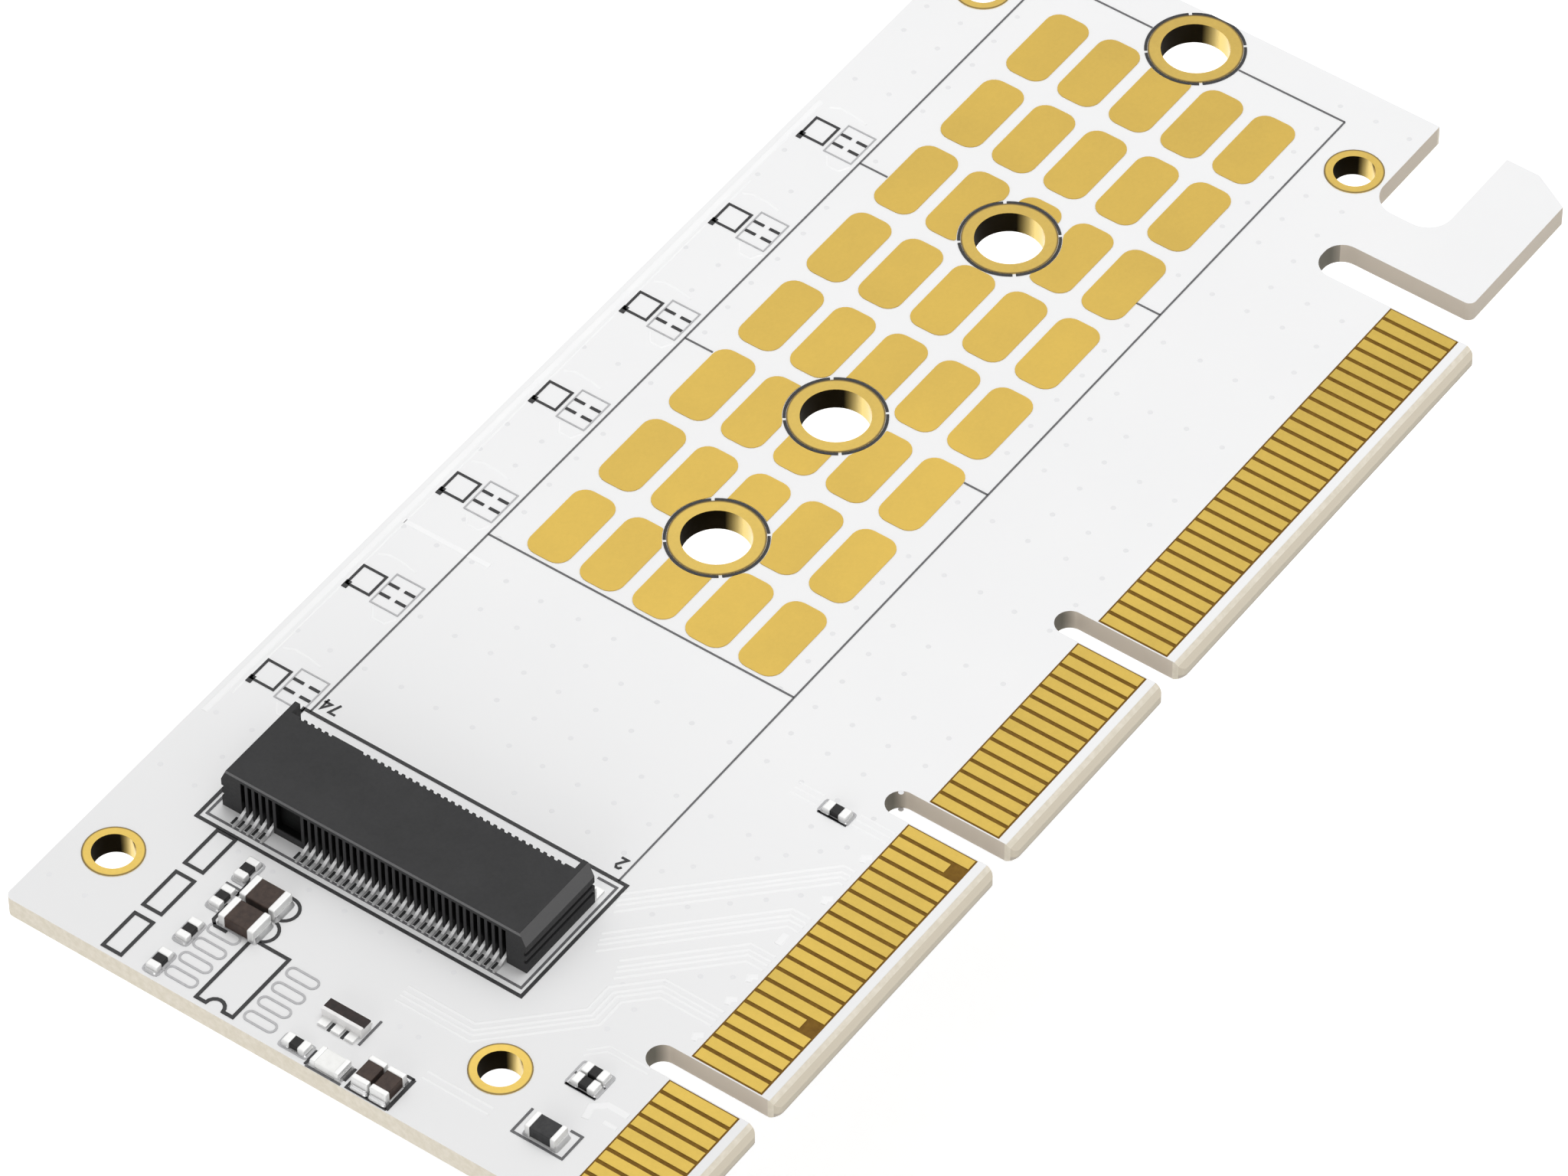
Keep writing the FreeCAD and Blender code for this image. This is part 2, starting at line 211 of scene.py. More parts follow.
def woven_group():
    """Node group 'glass_weave': threads that cross at the Pitch, height = sin(pi x / pitch) times
    sin(pi y / pitch) times a slow cloudiness.  Gives Height and Cloud."""
    effect = Effect("glass_weave", ["Pitch"], ["Height", "Cloud"])
    vector = effect.given["Vector"]
    turns = effect.math("DIVIDE", math.pi, effect.given["Pitch"])
    x, y, _ = effect.split(vector)
    warp, weft = [effect.math("SINE", effect.times(axis, turns)) for axis in (x, y)]
    cloud = effect.noise(vector, 90.0, 4.0)
    return effect.done(Height=effect.times(effect.times(warp, weft), cloud), Cloud=cloud)


glass_weave = woven_group()


def greyer_painted_shade(finish, x, plain, painted_shade):
    """Painted shade: the colour turns from plain to the shaded grey toward the card's low end."""
    return finish.blend(finish.ramp(x, SHADE_START_X * MM, SHADE_FULL_X * MM), plain, painted_shade)


def board_material():
    """White mask on both faces, greyed by painted shade toward the card's low end; straw laminate
    on the routed edges, with painted shade inside the slots, darkest at their round ends, and
    painted shade on the bevelled nose, deepest along its lowest part."""
    finish = Finish("white_masked_board")
    coords = finish.coords()
    weave = finish.use(glass_weave, Vector=coords, Pitch=WEAVE_PITCH * MM)
    x, y, z = finish.split(coords)
    on_top = finish.above(z, (MASK_TOP - MASK_SKIN) * MM)
    on_bottom = finish.below(z, (MASK_BOTTOM + MASK_SKIN) * MM)
    faces = finish.plus(on_top, on_bottom)

    glass_lines = finish.ramp(finish.noise(coords, 2600.0, 2.0), 0.35, 0.7)
    edge = finish.blend(glass_lines, LAMINATE_STRAW, LAMINATE_GLASS)
    inner_x = finish.below(finish.math("ABSOLUTE", x), OUTER_WALL_X * MM)
    inner_y = finish.below(finish.math("ABSOLUTE", y), OUTER_WALL_Y * MM)
    facing_y = finish.split(finish.coords("Normal"))[1]
    # Painted shade: the slot walls are darker, and darkest where they face the slots' closed round
    # ends.
    closed_end_shade = finish.times(finish.ramp(facing_y, -0.25, -0.9), finish.below(x, HOOK_X * MM))
    slot = finish.blend(closed_end_shade, LAMINATE_SLOT_SHADE, SLOT_END_SHADE)
    edge = finish.blend(finish.times(inner_x, inner_y), edge, slot)
    # Painted shade: the nose is darker, and darker still along its lowest part.
    nose = finish.below(y, NOSE_Y * MM)
    edge = finish.blend(nose, edge, LAMINATE_NOSE_SHADE)
    rim = finish.times(nose, finish.ramp(z, NOSE_RIM_TOP * MM, NOSE_RIM_FOOT * MM))
    edge = finish.blend(rim, edge, NOSE_FOOT_SHADE)

    white = finish.blend(finish.ramp(weave["Cloud"], 0.3, 0.7), MASK_WHITE, MASK_CLOUD)
    # Painted shade: the mask greys toward the card's low end.
    white = greyer_painted_shade(finish, x, white, MASK_PAINTED_SHADE)
    shine = finish.times(faces, finish.ramp(weave["Cloud"], 0.3, 0.7, 0.34, 0.44))
    return finish.lay(
        Base_Color=finish.blend(faces, edge, white),
        Roughness=finish.math("SUBTRACT", 0.82, shine),
        Normal=finish.bump(weave["Height"], 0.12, 0.02 * MM),
        IOR=1.5,
    )


dress(board_material(), "circuit_board")


# ==============================================================
# Bare laminate at the contact edge.  The mask is left open over each group of contacts, so
# the brown resin shows as a fine border, in the 0.27 mm gaps between the contacts and below
# the two short ones.
# ==============================================================
FINGER_HALF = 0.365
FINGER_GROUPS = [(0, 10), (13, 33), (36, 50), (53, 83)]
WINDOW_MARGIN = 0.1
WINDOW_FOOT = 0.9
WINDOW_HEAD = 5.72
RESIN_LIFT = 0.006
BARE_BROWN = (0.150, 0.072, 0.006)
BARE_AMBER = (0.22, 0.115, 0.012)


def show(name, data):
    item = bpy.data.objects.new(name, data)
    bpy.context.scene.collection.objects.link(item)
    return item


def make_piece(name, vertices, faces, material, slot):
    """Mesh object from flat arrays, riding on the part's one body; faces is an (n, 4) array or a
    list of corner lists."""
    mesh = bpy.data.meshes.new(name)
    corners = faces if isinstance(faces, list) else faces.tolist()
    mesh.from_pydata(vertices.reshape(-1, 3).tolist(), [], corners)
    mesh.update()
    mesh.materials.append(material)
    piece = show(name, mesh)
    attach(piece, "root")
    return piece


def flat_quads(rectangles, z):
    """Rectangles (u0, v0, u1, v1) as level faces at height z, corner order anticlockwise."""
    r = np.asarray(rectangles, float)
    u = r[:, [0, 2, 2, 0]]
    v = r[:, [1, 1, 3, 3]]
    return place(u, v, z), np.arange(r.shape[0] * 4).reshape(-1, 4)


def brown_material():
    finish = Finish("bare_brown_laminate")
    coords = finish.coords()
    weave = finish.use(glass_weave, Vector=coords, Pitch=0.30 * MM)
    grain = finish.ramp(finish.noise(coords, 3000.0), 0.3, 0.75)
    return finish.lay(
        Base_Color=finish.blend(grain, BARE_BROWN, BARE_AMBER),
        Roughness=finish.ramp(weave["Cloud"], 0.3, 0.7, 0.45, 0.65),
        Normal=finish.bump(weave["Height"], 0.3, 0.02 * MM),
        Specular_IOR_Level=0.12,
    )


bare_brown = brown_material()
reach = FINGER_HALF + WINDOW_MARGIN
windows = [(a - reach, WINDOW_FOOT, b + reach, WINDOW_HEAD) for a, b in FINGER_GROUPS]
gap_vertices, gap_faces = flat_quads(windows, MASK_TOP + RESIN_LIFT)
make_piece("bare_laminate_gaps", gap_vertices, gap_faces, bare_brown, "board")
gap_vertices, gap_faces = flat_quads(windows, MASK_BOTTOM - RESIN_LIFT)
make_piece("bare_laminate_gaps_under", gap_vertices, gap_faces[:, ::-1], bare_brown, "board")


# ==============================================================
# Tracks and through-holes under the mask.  Etched copper, 35 microns high, lies under the
# mask and lifts it into faint ridges; small plated holes stitch the planes together and are
# filled over by the mask, so that each shows as a shallow dot.
# ==============================================================
TRACK_HEIGHT = 0.022
TRACK_SHOULDER = 0.05
LANE_WIDTH = 0.2
TRACK_WHITE = (0.91, 0.91, 0.91)
TRACK_CLOUD = (0.885, 0.885, 0.89)
# Painted shade: the track ridges grey toward the card's low end.
TRACK_PAINTED_SHADE = (0.845, 0.845, 0.847)
TURN = math.sqrt(2.0) - 1.0
ALONE = (0.0, 0.0)
LAMP_PLACES = [20.55 + 9.07 * place_number for place_number in range(7)]


def ribbon(path, width, base, height, shoulder, closed=False):
    """A trapezoid profile carried along a level path: at each point the four profile corners
    stand at -w/2, -w/2+s, w/2-s, w/2 across the mitred normal and 0, h, h, 0 above the base."""
    p = np.asarray(path, float)
    ahead = np.roll(p, -1, 0) - p
    ahead /= np.maximum(np.linalg.norm(ahead, axis=1, keepdims=True), 1e-9)
    behind = np.roll(ahead, 1, 0)
    if not closed:
        ahead[-1] = behind[-1]
        behind[0] = ahead[0]
    mean = ahead + behind
    mean /= np.maximum(np.linalg.norm(mean, axis=1, keepdims=True), 1e-9)
    side = np.stack([-mean[:, 1], mean[:, 0]], 1)
    stretch = 1.0 / np.maximum(np.abs((mean * ahead).sum(1)), 0.4)
    across = np.array([-width / 2, -width / 2 + shoulder, width / 2 - shoulder, width / 2])
    lift = base + np.array([0.0, height, height, 0.0])
    flat = p[:, None, :] + side[:, None, :] * (across[None, :, None] * stretch[:, None, None])
    vertices = place(flat[..., 0], flat[..., 1], lift[None, :])
    count = len(p)
    runs = np.arange(count if closed else count - 1)[:, None]
    a = runs * 4 + np.arange(3)
    b = (runs + 1) % count * 4 + np.arange(3)
    faces = np.stack([a + 1, b + 1, b, a], -1).reshape(-1, 4)
    if not closed:
        tail = (count - 1) * 4
        faces = np.concatenate([faces, [[0, 1, 2, 3]], [[tail + 3, tail + 2, tail + 1, tail]]])
    return vertices.reshape(-1, 3), faces


def bands(shells, rings, sides):
    """Quads of shells that are stacks of closed rings: point k of a ring is joined to point k + 1
    and to the same two points of the next ring."""
    here = (np.arange(shells)[:, None, None] * rings + np.arange(rings - 1)[:, None]) * sides
    k = np.arange(sides)
    n = (k + 1) % sides
    quads = np.stack([here + k, here + n, here + sides + n, here + sides + k], -1)
    return quads.reshape(-1, 4)


def discs(centres, radius, base, height, sides=10):
    """Level round dots: an outer ring at the base, an inner ring lifted by height, and a hub."""
    c = np.asarray(centres, float)[:, None, :]
    turn = np.arange(sides) * 2 * math.pi / sides
    rings = [
        place(c[..., 0] + reach * np.cos(turn), c[..., 1] + reach * np.sin(turn), base + lift)
        for reach, lift in ((radius, 0.0), (radius * 0.86, height), (0.0, height))
    ]
    return np.stack(rings, 1).reshape(-1, 3), bands(len(c), len(rings), sides)


def joined(parts):
    """Several (vertices, faces) pairs as one pair, with the face numbers moved up in turn."""
    starts = np.cumsum([0] + [len(vertices) for vertices, faces in parts])
    faces = [part_faces + start for (vertices, part_faces), start in zip(parts, starts)]
    return np.concatenate([vertices for vertices, part_faces in parts]), np.concatenate(faces)


def track_material():
    finish = Finish("mask_over_copper")
    coords = finish.coords()
    cloud = finish.noise(coords, 500.0)
    white = finish.blend(finish.ramp(cloud, 0.3, 0.7), TRACK_WHITE, TRACK_CLOUD)
    # Painted shade: the ridges grey toward the card's low end.
    return finish.lay(
        Base_Color=greyer_painted_shade(finish, finish.split(coords)[0], white, TRACK_PAINTED_SHADE),
        Roughness=finish.ramp(cloud, 0.3, 0.7, 0.34, 0.44),
    )


mask_over_copper = track_material()


def pair_lanes(turns, grow=(0.0, 0.44, 0.78, 1.22)):
    """Two signal pairs side by side: every lane follows the same turning points, each moved by its
    own (u, v) rate times the lane's distance from the first one."""
    return [
        [(u + rate_u * step, v + rate_v * step) for u, v, rate_u, rate_v in turns] for step in grow
    ]


def bundle(path, width, count, step, base=MASK_TOP, height=TRACK_HEIGHT):
    """Tracks side by side along one path, each moved on from the last by the same (u, v) step."""
    paths = [np.array(path) + np.array(step) * lane for lane in range(count)]
    return [ribbon(moved, width, base, height, TRACK_SHOULDER) for moved in paths]


lanes = []
for corner, low, top in ((27.15, 7.3, 12.6), (30.18, 6.9, 14.6), (33.97, 6.4, 15.5)):
    foot = (corner - low, 6.1, 1.0, 0.0)
    lanes += pair_lanes([foot, (corner - low, low, 1.0, TURN), (corner - top, top, 1.0, TURN)])
long_way = [(14.92, 6.1, 1.0, 0.0), (14.92, 9.68, 1.0, TURN), (13.38, 11.22, TURN, 1.0)]
long_way += [(11.38, 11.22, TURN, 1.0), (6.2, 16.4, 1.0, TURN), (6.2, 21.6, 1.0, 0.0)]
lanes += pair_lanes(long_way)
tracks = [ribbon(lane, LANE_WIDTH, MASK_TOP, TRACK_HEIGHT, TRACK_SHOULDER) for lane in lanes]
for path, width, count, step in (
    ([(10.05, 6.9), (10.05, 9.7), (9.1, 10.65)], 0.16, 2, (0.4, 0.12)),
    ([(31.55, 12.6), (31.55, 10.8)], 0.16, 3, (0.45, 0.0)),
    ([(31.55, 8.3), (31.55, 5.9)], 0.16, 3, (0.45, 0.0)),
    ([(2.6, 17.0), (2.6, 12.4)], 0.2, 2, (0.53, 0.0)),
    ([(17.0, 43.62), (78.0, 43.62)], 0.42, 1, ALONE),
    ([(19.0, 43.16), (70.0, 43.16)], 0.14, 1, ALONE),
    ([(35.5, 43.3), (35.5, 37.0)], 0.42, 1, ALONE),
    ([(5.5, 7.9), (6.4, 8.1), (7.0, 7.4), (7.0, 6.0)], 0.5, 1, ALONE),
    ([(5.9, 6.9), (5.9, 6.0)], 0.35, 1, ALONE),
    ([(21.9, 6.55), (22.8, 6.6)], 0.5, 1, ALONE),
):
    tracks += bundle(path, width, count, step)
for u in LAMP_PLACES:
    loop = [(u + 2.9, 42.9), (u + 3.2, 42.3), (u + 3.15, 41.2), (u + 2.95, 40.2)]
    tracks.append(ribbon(loop, 0.18, MASK_TOP, TRACK_HEIGHT, 0.06))
    hook = [(u - 0.6, 40.6), (u - 1.3, 40.1), (u - 1.3, 39.3), (u - 0.6, 38.9)]
    tracks.append(ribbon(hook, 0.16, MASK_TOP, TRACK_HEIGHT, TRACK_SHOULDER))
for u, v in ((13.8, 6.3), (17.0, 6.3), (19.0, 6.3), (26.1, 6.2), (29.9, 6.2)):
    blob = [(u - 0.3, v), (u + 0.1, v + 0.15), (u + 0.35, v - 0.25)]
    tracks.append(ribbon(blob, 0.4, MASK_TOP, TRACK_HEIGHT, 0.1))
make_piece("buried_tracks", *joined(tracks), mask_over_copper, "board")

under_tracks = bundle(
    [(20.0, 30.0), (27.0, 30.0), (40.0, 17.0), (40.0, 6.2)],
    0.18, 6, (0.4, 0.4), MASK_BOTTOM, -TRACK_HEIGHT,
)
under_tracks += bundle(
    [(20.0, 26.0), (23.0, 26.0), (31.0, 18.0), (31.0, 6.2)],
    0.18, 5, (-0.4, -0.4), MASK_BOTTOM, -TRACK_HEIGHT,
)

HOLE_PITCH = 2.54
HOLE_WANDER = 0.08
HOLE_FIRST_U = 22.42
HOLE_FIRST_V = 20.2
HOLE_RADIUS = 0.17
HOLE_HEIGHT = 0.008
MOUNT_U = (5.6, 91.8)
MOUNT_V = (13.8, 41.2)


def dot_material():
    finish = Finish("filled_hole_mask")
    cloud = finish.noise(finish.coords(), 900.0, 2.0)
    return finish.lay(
        Base_Color=finish.blend(cloud, (0.73, 0.73, 0.74), (0.79, 0.79, 0.80)),
        Roughness=finish.ramp(cloud, 0.3, 0.7, 0.4, 0.5),
    )


def hole_is_free(u, v):
    """True where the card has room for a filled hole: clear of the gold lands, the socket, the
    tracks, the corner screws, the hook, the chips and the lamp places."""
    lands = u > 37.2 and 18.0 < v < 37.4
    socket = 9.9 < u < 21.2 and 15.4 < v < 39.5
    tracks = u < 21.0 and v < 18.5 or u + v < 36.4 and v < 16.2
    corner = min(math.hypot(u - a, v - b) for a in MOUNT_U for b in MOUNT_V) < 2.4
    hook = u > 82.6 and v < 12.2
    chips = u < 9.6 and 16.5 < v < 39.0
    lamp = v > 38.8 and min(abs(u - lamp_u - 0.95) for lamp_u in LAMP_PLACES) < 1.9
    return not (lands or socket or tracks or corner or hook or chips or lamp)


dots = [
    (23.8, 13.8), (21.2, 12.3), (26.4, 11.2), (22.8, 10.5), (24.2, 9.0), (28.9, 8.6),
    (25.6, 7.6), (18.5, 7.2), (17.5, 8.7), (16.1, 10.1), (14.5, 11.9), (13.4, 10.3),
    (11.4, 10.7), (19.6, 13.6), (4.8, 20.2), (4.8, 18.9),
]
for row in range(-5, 10):
    for column in range(-8, 30):
        u = HOLE_FIRST_U + HOLE_PITCH * column + HOLE_WANDER * math.sin(row * 2.1 + column * 1.3)
        v = HOLE_FIRST_V + HOLE_PITCH * row + HOLE_WANDER * math.sin(column * 1.7 + row * 0.9)
        left_out = math.sin(row * 12.9 + column * 78.2) > 0.72
        if hole_is_free(u, v) and not left_out:
            dots.append((u, v))
filled_hole_mask = dot_material()
dot_vertices, dot_faces = discs(dots, HOLE_RADIUS, MASK_TOP, HOLE_HEIGHT)
make_piece("filled_holes", dot_vertices, dot_faces, filled_hole_mask, "board")
dot_vertices, dot_faces = discs(dots, HOLE_RADIUS, MASK_BOTTOM, -HOLE_HEIGHT)
make_piece("filled_holes_under", dot_vertices, dot_faces[:, ::-1], filled_hole_mask, "board")
under_vertices, under_faces = joined(under_tracks)
make_piece("buried_tracks_under", under_vertices, under_faces[:, ::-1], mask_over_copper, "board")


# ==============================================================
# Gold-plated copper.  Edge contacts, the lands that carry the drive's heat and the rings
# round every screw and standoff hole are etched copper under nickel and a thin, soft gold.
# ==============================================================
CONTACT_GOLD = (0.635, 0.435, 0.076)
CONTACT_GOLD_DEEP = (0.47, 0.322, 0.052)
LAND_GOLD = (0.68, 0.460, 0.080)
LAND_GOLD_DEEP = (0.53, 0.355, 0.062)
RING_GOLD = (0.71, 0.50, 0.105)
RING_GOLD_DEEP = (0.50, 0.34, 0.070)
RING_RIM = (0.17, 0.115, 0.035)
# Painted light and painted shade on the hole walls: lit gold on one side, near black on the other.
WALL_PAINTED_LIGHT = (0.80, 0.60, 0.20)
WALL_PAINTED_SHADE = (0.012, 0.008, 0.002)
SHADED_SIDE = (0.245, 0.971)
PLATING_GRAIN = 0.003
CARD_END_X = 49.0
LAND_TOP = 1.57
STANDOFF_V = 27.55
STANDOFF_U = {30: 45.0, 42: 57.0, 60: 75.0, 80: 95.0}


def plated_group():
    """Node group 'plating': a drift of tone along the panel and in clouds, and fine brushed grain;
    gives a Tone from 0 to 1, a Grain height and a Gloss value."""
    effect = Effect("plating", [], ["Tone", "Grain", "Gloss"])
    vector = effect.given["Vector"]
    slow = effect.noise(vector, 160.0)
    fine = effect.noise(vector, 4200.0, 4.0, 0.65)
    clouds = effect.plus(effect.times(slow, 0.7), effect.times(fine, 0.3))
    clouds = effect.ramp(clouds, 0.35, 0.65, 0.0, 0.5)
    along = effect.ramp(effect.split(vector)[0], CARD_END_X * MM, -CARD_END_X * MM, 0.0, 0.5)
    return effect.done(
        Tone=effect.plus(clouds, along),
        Grain=fine,
        Gloss=effect.ramp(slow, 0.3, 0.7, 0.30, 0.42),
    )


plating = plated_group()


def gold_material(name, light, deep, grain=PLATING_GRAIN):
    finish = Finish(name)
    parts = finish.use(plating, Vector=finish.coords())
    return finish.lay(
        Base_Color=finish.blend(parts["Tone"], deep, light),
        Roughness=parts["Gloss"],
        Normal=finish.bump(parts["Grain"], 0.25, grain * MM),
        Metallic=0.5,
    )


def ring_material(name, light, deep, low, high):
    """Plated gold on a barrel whose node reaches from low to high, with the pattern centred on its
    hole: the outermost 0.09 mm is dull, and in the hole the wall carries painted light on one side
    and painted shade, near black and rougher, on the other, by the cosine of the angle from the
    shaded side."""
    finish = Finish(name)
    coords = finish.coords()
    parts = finish.use(plating, Vector=coords)
    radius = (high[1] - low[1]) / 2
    centred = finish.nodes.new("ShaderNodeMapping")
    finish.feed(centred.inputs["Vector"], coords)
    centred.inputs["Location"].default_value = (-low[0] - radius, -low[1] - radius, 0.0)
    x, y, z = finish.split(centred.outputs["Vector"])
    distance = finish.math("SQRT", finish.plus(finish.times(x, x), finish.times(y, y)))
    rim = finish.ramp(distance, radius - 0.13 * MM, radius - 0.05 * MM)
    face = finish.blend(rim, finish.blend(parts["Tone"], deep, light), RING_RIM)

    # Painted light and painted shade round the hole wall, by the cosine of the angle from the
    # shaded side.
    toward = finish.plus(finish.times(x, SHADED_SIDE[0]), finish.times(y, SHADED_SIDE[1]))
    wall_shade = finish.ramp(finish.math("DIVIDE", toward, distance), 0.05, 0.60)
    in_hole = finish.times(finish.below(z, (LAND_TOP - 0.003) * MM), finish.above(z, 0.003 * MM))
    wall = finish.blend(wall_shade, WALL_PAINTED_LIGHT, WALL_PAINTED_SHADE)
    values = {"Factor": in_hole, "A": 1.0, "B": finish.ramp(wall_shade, 0.0, 1.0, 0.5, 2.4)}
    dulling = finish.add("ShaderNodeMix", "Result", values)
    return finish.lay(
        Base_Color=finish.blend(in_hole, face, wall),
        Roughness=finish.times(parts["Gloss"], dulling),
        Metallic=finish.ramp(in_hole, 0.0, 1.0, 0.5, 1.0),
        Normal=finish.bump(parts["Grain"], 0.25, PLATING_GRAIN * MM),
    )


contact_gold = gold_material("contact_gold", CONTACT_GOLD, CONTACT_GOLD_DEEP, 0.004)
land_gold = gold_material("land_gold", LAND_GOLD, LAND_GOLD_DEEP)
for group in range(1, 5):
    dress(contact_gold, "edge_contacts_top_%d" % group, "edge_contacts_bottom_%d" % group)
barrels = [("mounting_barrel_%d" % corner, 1.08) for corner in range(1, 5)]
barrels += [("standoff_barrel_%d" % length, 1.0) for length in STANDOFF_U]
for barrel, brightness in barrels:
    light = tuple(brightness * part for part in RING_GOLD)
    deep = tuple(brightness * part for part in RING_GOLD_DEEP)
    dress(ring_material("ring_gold_" + barrel, light, deep, *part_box(barrel)), barrel)

LAND_LENGTH = 5.96
LAND_WIDTH = 2.95
LAND_RADIUS = 0.95
LAND_FIRST_U = 40.81
LAND_PITCH_U = 7.0
LAND_PITCH_V = 3.8
LAND_MIDDLE_V = 27.39
LAND_CUT = 3.2


def land_strip(u_mid, v_mid):
    """One land as strips of cross lines: where they stand, and a low and a high edge for each.
    Across the long way the edge is at half width less r - sqrt(r^2 - d^2), d being the depth into
    the corner; the circle round a standoff hole takes the larger of that edge and its own chord.
    Cosine spacing crowds the corners."""
    half_u, half_v = LAND_LENGTH / 2, LAND_WIDTH / 2
    corner = LAND_RADIUS * (1 - np.cos(np.linspace(0, math.pi / 2, 7)))
    middle = np.linspace(LAND_RADIUS, LAND_LENGTH - LAND_RADIUS, 13)[1:-1]
    along = np.concatenate([corner, middle, LAND_LENGTH - corner[::-1]]) - half_u
    hole_u = min(STANDOFF_U.values(), key=lambda candidate: abs(candidate - u_mid))
    away = abs(hole_u - u_mid)
    on_axis = abs(v_mid - STANDOFF_V) < 1.0
    if on_axis and away < half_u + LAND_CUT:
        toward = 1.0 if hole_u > u_mid else -1.0
        along = along[along * toward < away - LAND_CUT - 0.02]
        rise = np.linspace(0, half_v + abs(v_mid - STANDOFF_V), 9)
        on_circle = toward * (away - np.sqrt(LAND_CUT**2 - rise**2))
        along = np.sort(np.concatenate([along, on_circle[np.abs(on_circle) < half_u]]))
    depth = np.clip(np.abs(along) - (half_u - LAND_RADIUS), 0, LAND_RADIUS)
    edge = half_v - (LAND_RADIUS - np.sqrt(np.maximum(LAND_RADIUS**2 - depth**2, 0)))
    low, high = v_mid - edge, v_mid + edge
    chord = np.sqrt(np.maximum(LAND_CUT**2 - (u_mid + along - hole_u) ** 2, 0))
    below = np.where(chord > 0, np.clip(STANDOFF_V - chord, low, high), high)
    above = np.where(chord > 0, np.clip(STANDOFF_V + chord, low, high), low)
    if on_axis:
        return u_mid + along, [(low, below), (np.where(chord > 0, above, high), high)]
    if v_mid > STANDOFF_V:
        return u_mid + along, [(above, high)]
    return u_mid + along, [(low, below)]


def strip_plate(u, low, high, bottom, top):
    """A level plate between two edges low(u) and high(u), with its walls and its end faces."""
    count = u.size
    edges = np.concatenate([low, low, high, high])
    vertices = place(np.tile(u, 4), edges, np.repeat([bottom, top, top, bottom], count))
    k = np.arange(count - 1)
    walls = [k[:, None] + np.array([0, 1, count + 1, count]) + row * count for row in range(3)]
    first = np.arange(4) * count
    return vertices, np.concatenate(walls + [[first, first[::-1] + count - 1]])


lands = []
for column in range(8):
    for row in range(-2, 3):
        u_mid, v_mid = LAND_FIRST_U + column * LAND_PITCH_U, LAND_MIDDLE_V + row * LAND_PITCH_V
        u_line, strips = land_strip(u_mid, v_mid)
        for low, high in strips:
            wide = np.flatnonzero(high - low > 1e-4)
            if wide.size > 1:
                kept = slice(max(wide[0] - 1, 0), wide[-1] + 2)
                top_edge = np.maximum(high[kept], low[kept])
                lands.append(strip_plate(u_line[kept], low[kept], top_edge, MASK_TOP, LAND_TOP))
heat_lands = make_piece("heat_land_plates", *joined(lands), land_gold, "gold_plate")
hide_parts("heat_lands")


# ==============================================================
# Printing.  Black epoxy ink, screened on the white mask and baked: the drive's outlines, the
# frames round the components, the ring round each standoff hole and the socket's end numbers.
# ==============================================================
INK_RELIEF = 0.042
FINE_LINE = 0.11
THIN_LINE = 0.15
BOLD_LINE = 0.22
RING_LINE = 0.18
RING_RADIUS = 3.065
RING_END_U = 97.95
BAY_START = 37.5
BAY_END = 95.0
BAY_LOW = 16.6
BAY_HIGH = 38.6
CHIP_OUTLINE_V = (28.2, 30.8)
DIGIT_SIZE = 0.73
DIGIT_STEP = 0.9
DIGIT_LINE = 0.19
DIGITS = {
    "7": [(0, 1.1), (0.62, 1.1), (0.2, 0)],
    "4": [(0.5, 0), (0.5, 1.1), (0, 0.35), (0.68, 0.35)],
    "2": [(0, 0.85), (0.15, 1.07), (0.42, 1.07), (0.55, 0.8), (0, 0), (0.6, 0)],
}


def ink_material(name, dark, light):
    finish = Finish(name)
    speckle = finish.noise(finish.coords(), 6000.0)
    return finish.lay(
        Base_Color=finish.blend(finish.ramp(speckle, 0.35, 0.7), dark, light),
        Roughness=finish.ramp(speckle, 0.3, 0.7, 0.5, 0.65),
    )


# The black ink finish also serves the painted shadow sheets between the socket's feet.
black_ink_and_painted_shadow = ink_material("black_ink_and_painted_shadow", (0.012, 0.012, 0.013), (0.035, 0.035, 0.037))
thin_ink = ink_material("thin_ink", (0.09, 0.09, 0.095), (0.14, 0.14, 0.145))
pale_ink = ink_material("pale_ink", (0.42, 0.42, 0.43), (0.50, 0.50, 0.51))


def stroke(path, width, closed=False):
    return ribbon(path, width, MASK_TOP, INK_RELIEF, 0.0, closed)


def box_path(u0, v0, u1, v1):
    return [(u0, v0), (u1, v0), (u1, v1), (u0, v1)]


def arc_path(u, v, radius, start, stop, steps=24):
    turn = np.radians(np.linspace(start, stop, steps))
    return np.stack([u + radius * np.cos(turn), v + radius * np.sin(turn)], 1)


def round_path(u0, v0, u1, v1, radius, steps=5):
    """Rectangle with corners rounded by quarter circles, as one closed path."""
    left, low, right, high = u0 + radius, v0 + radius, u1 - radius, v1 - radius
    hubs = [(right, high), (left, high), (left, low), (right, low)]
    arcs = [arc_path(u, v, radius, 90 * q, 90 * q + 90, steps) for q, (u, v) in enumerate(hubs)]
    return np.concatenate(arcs)


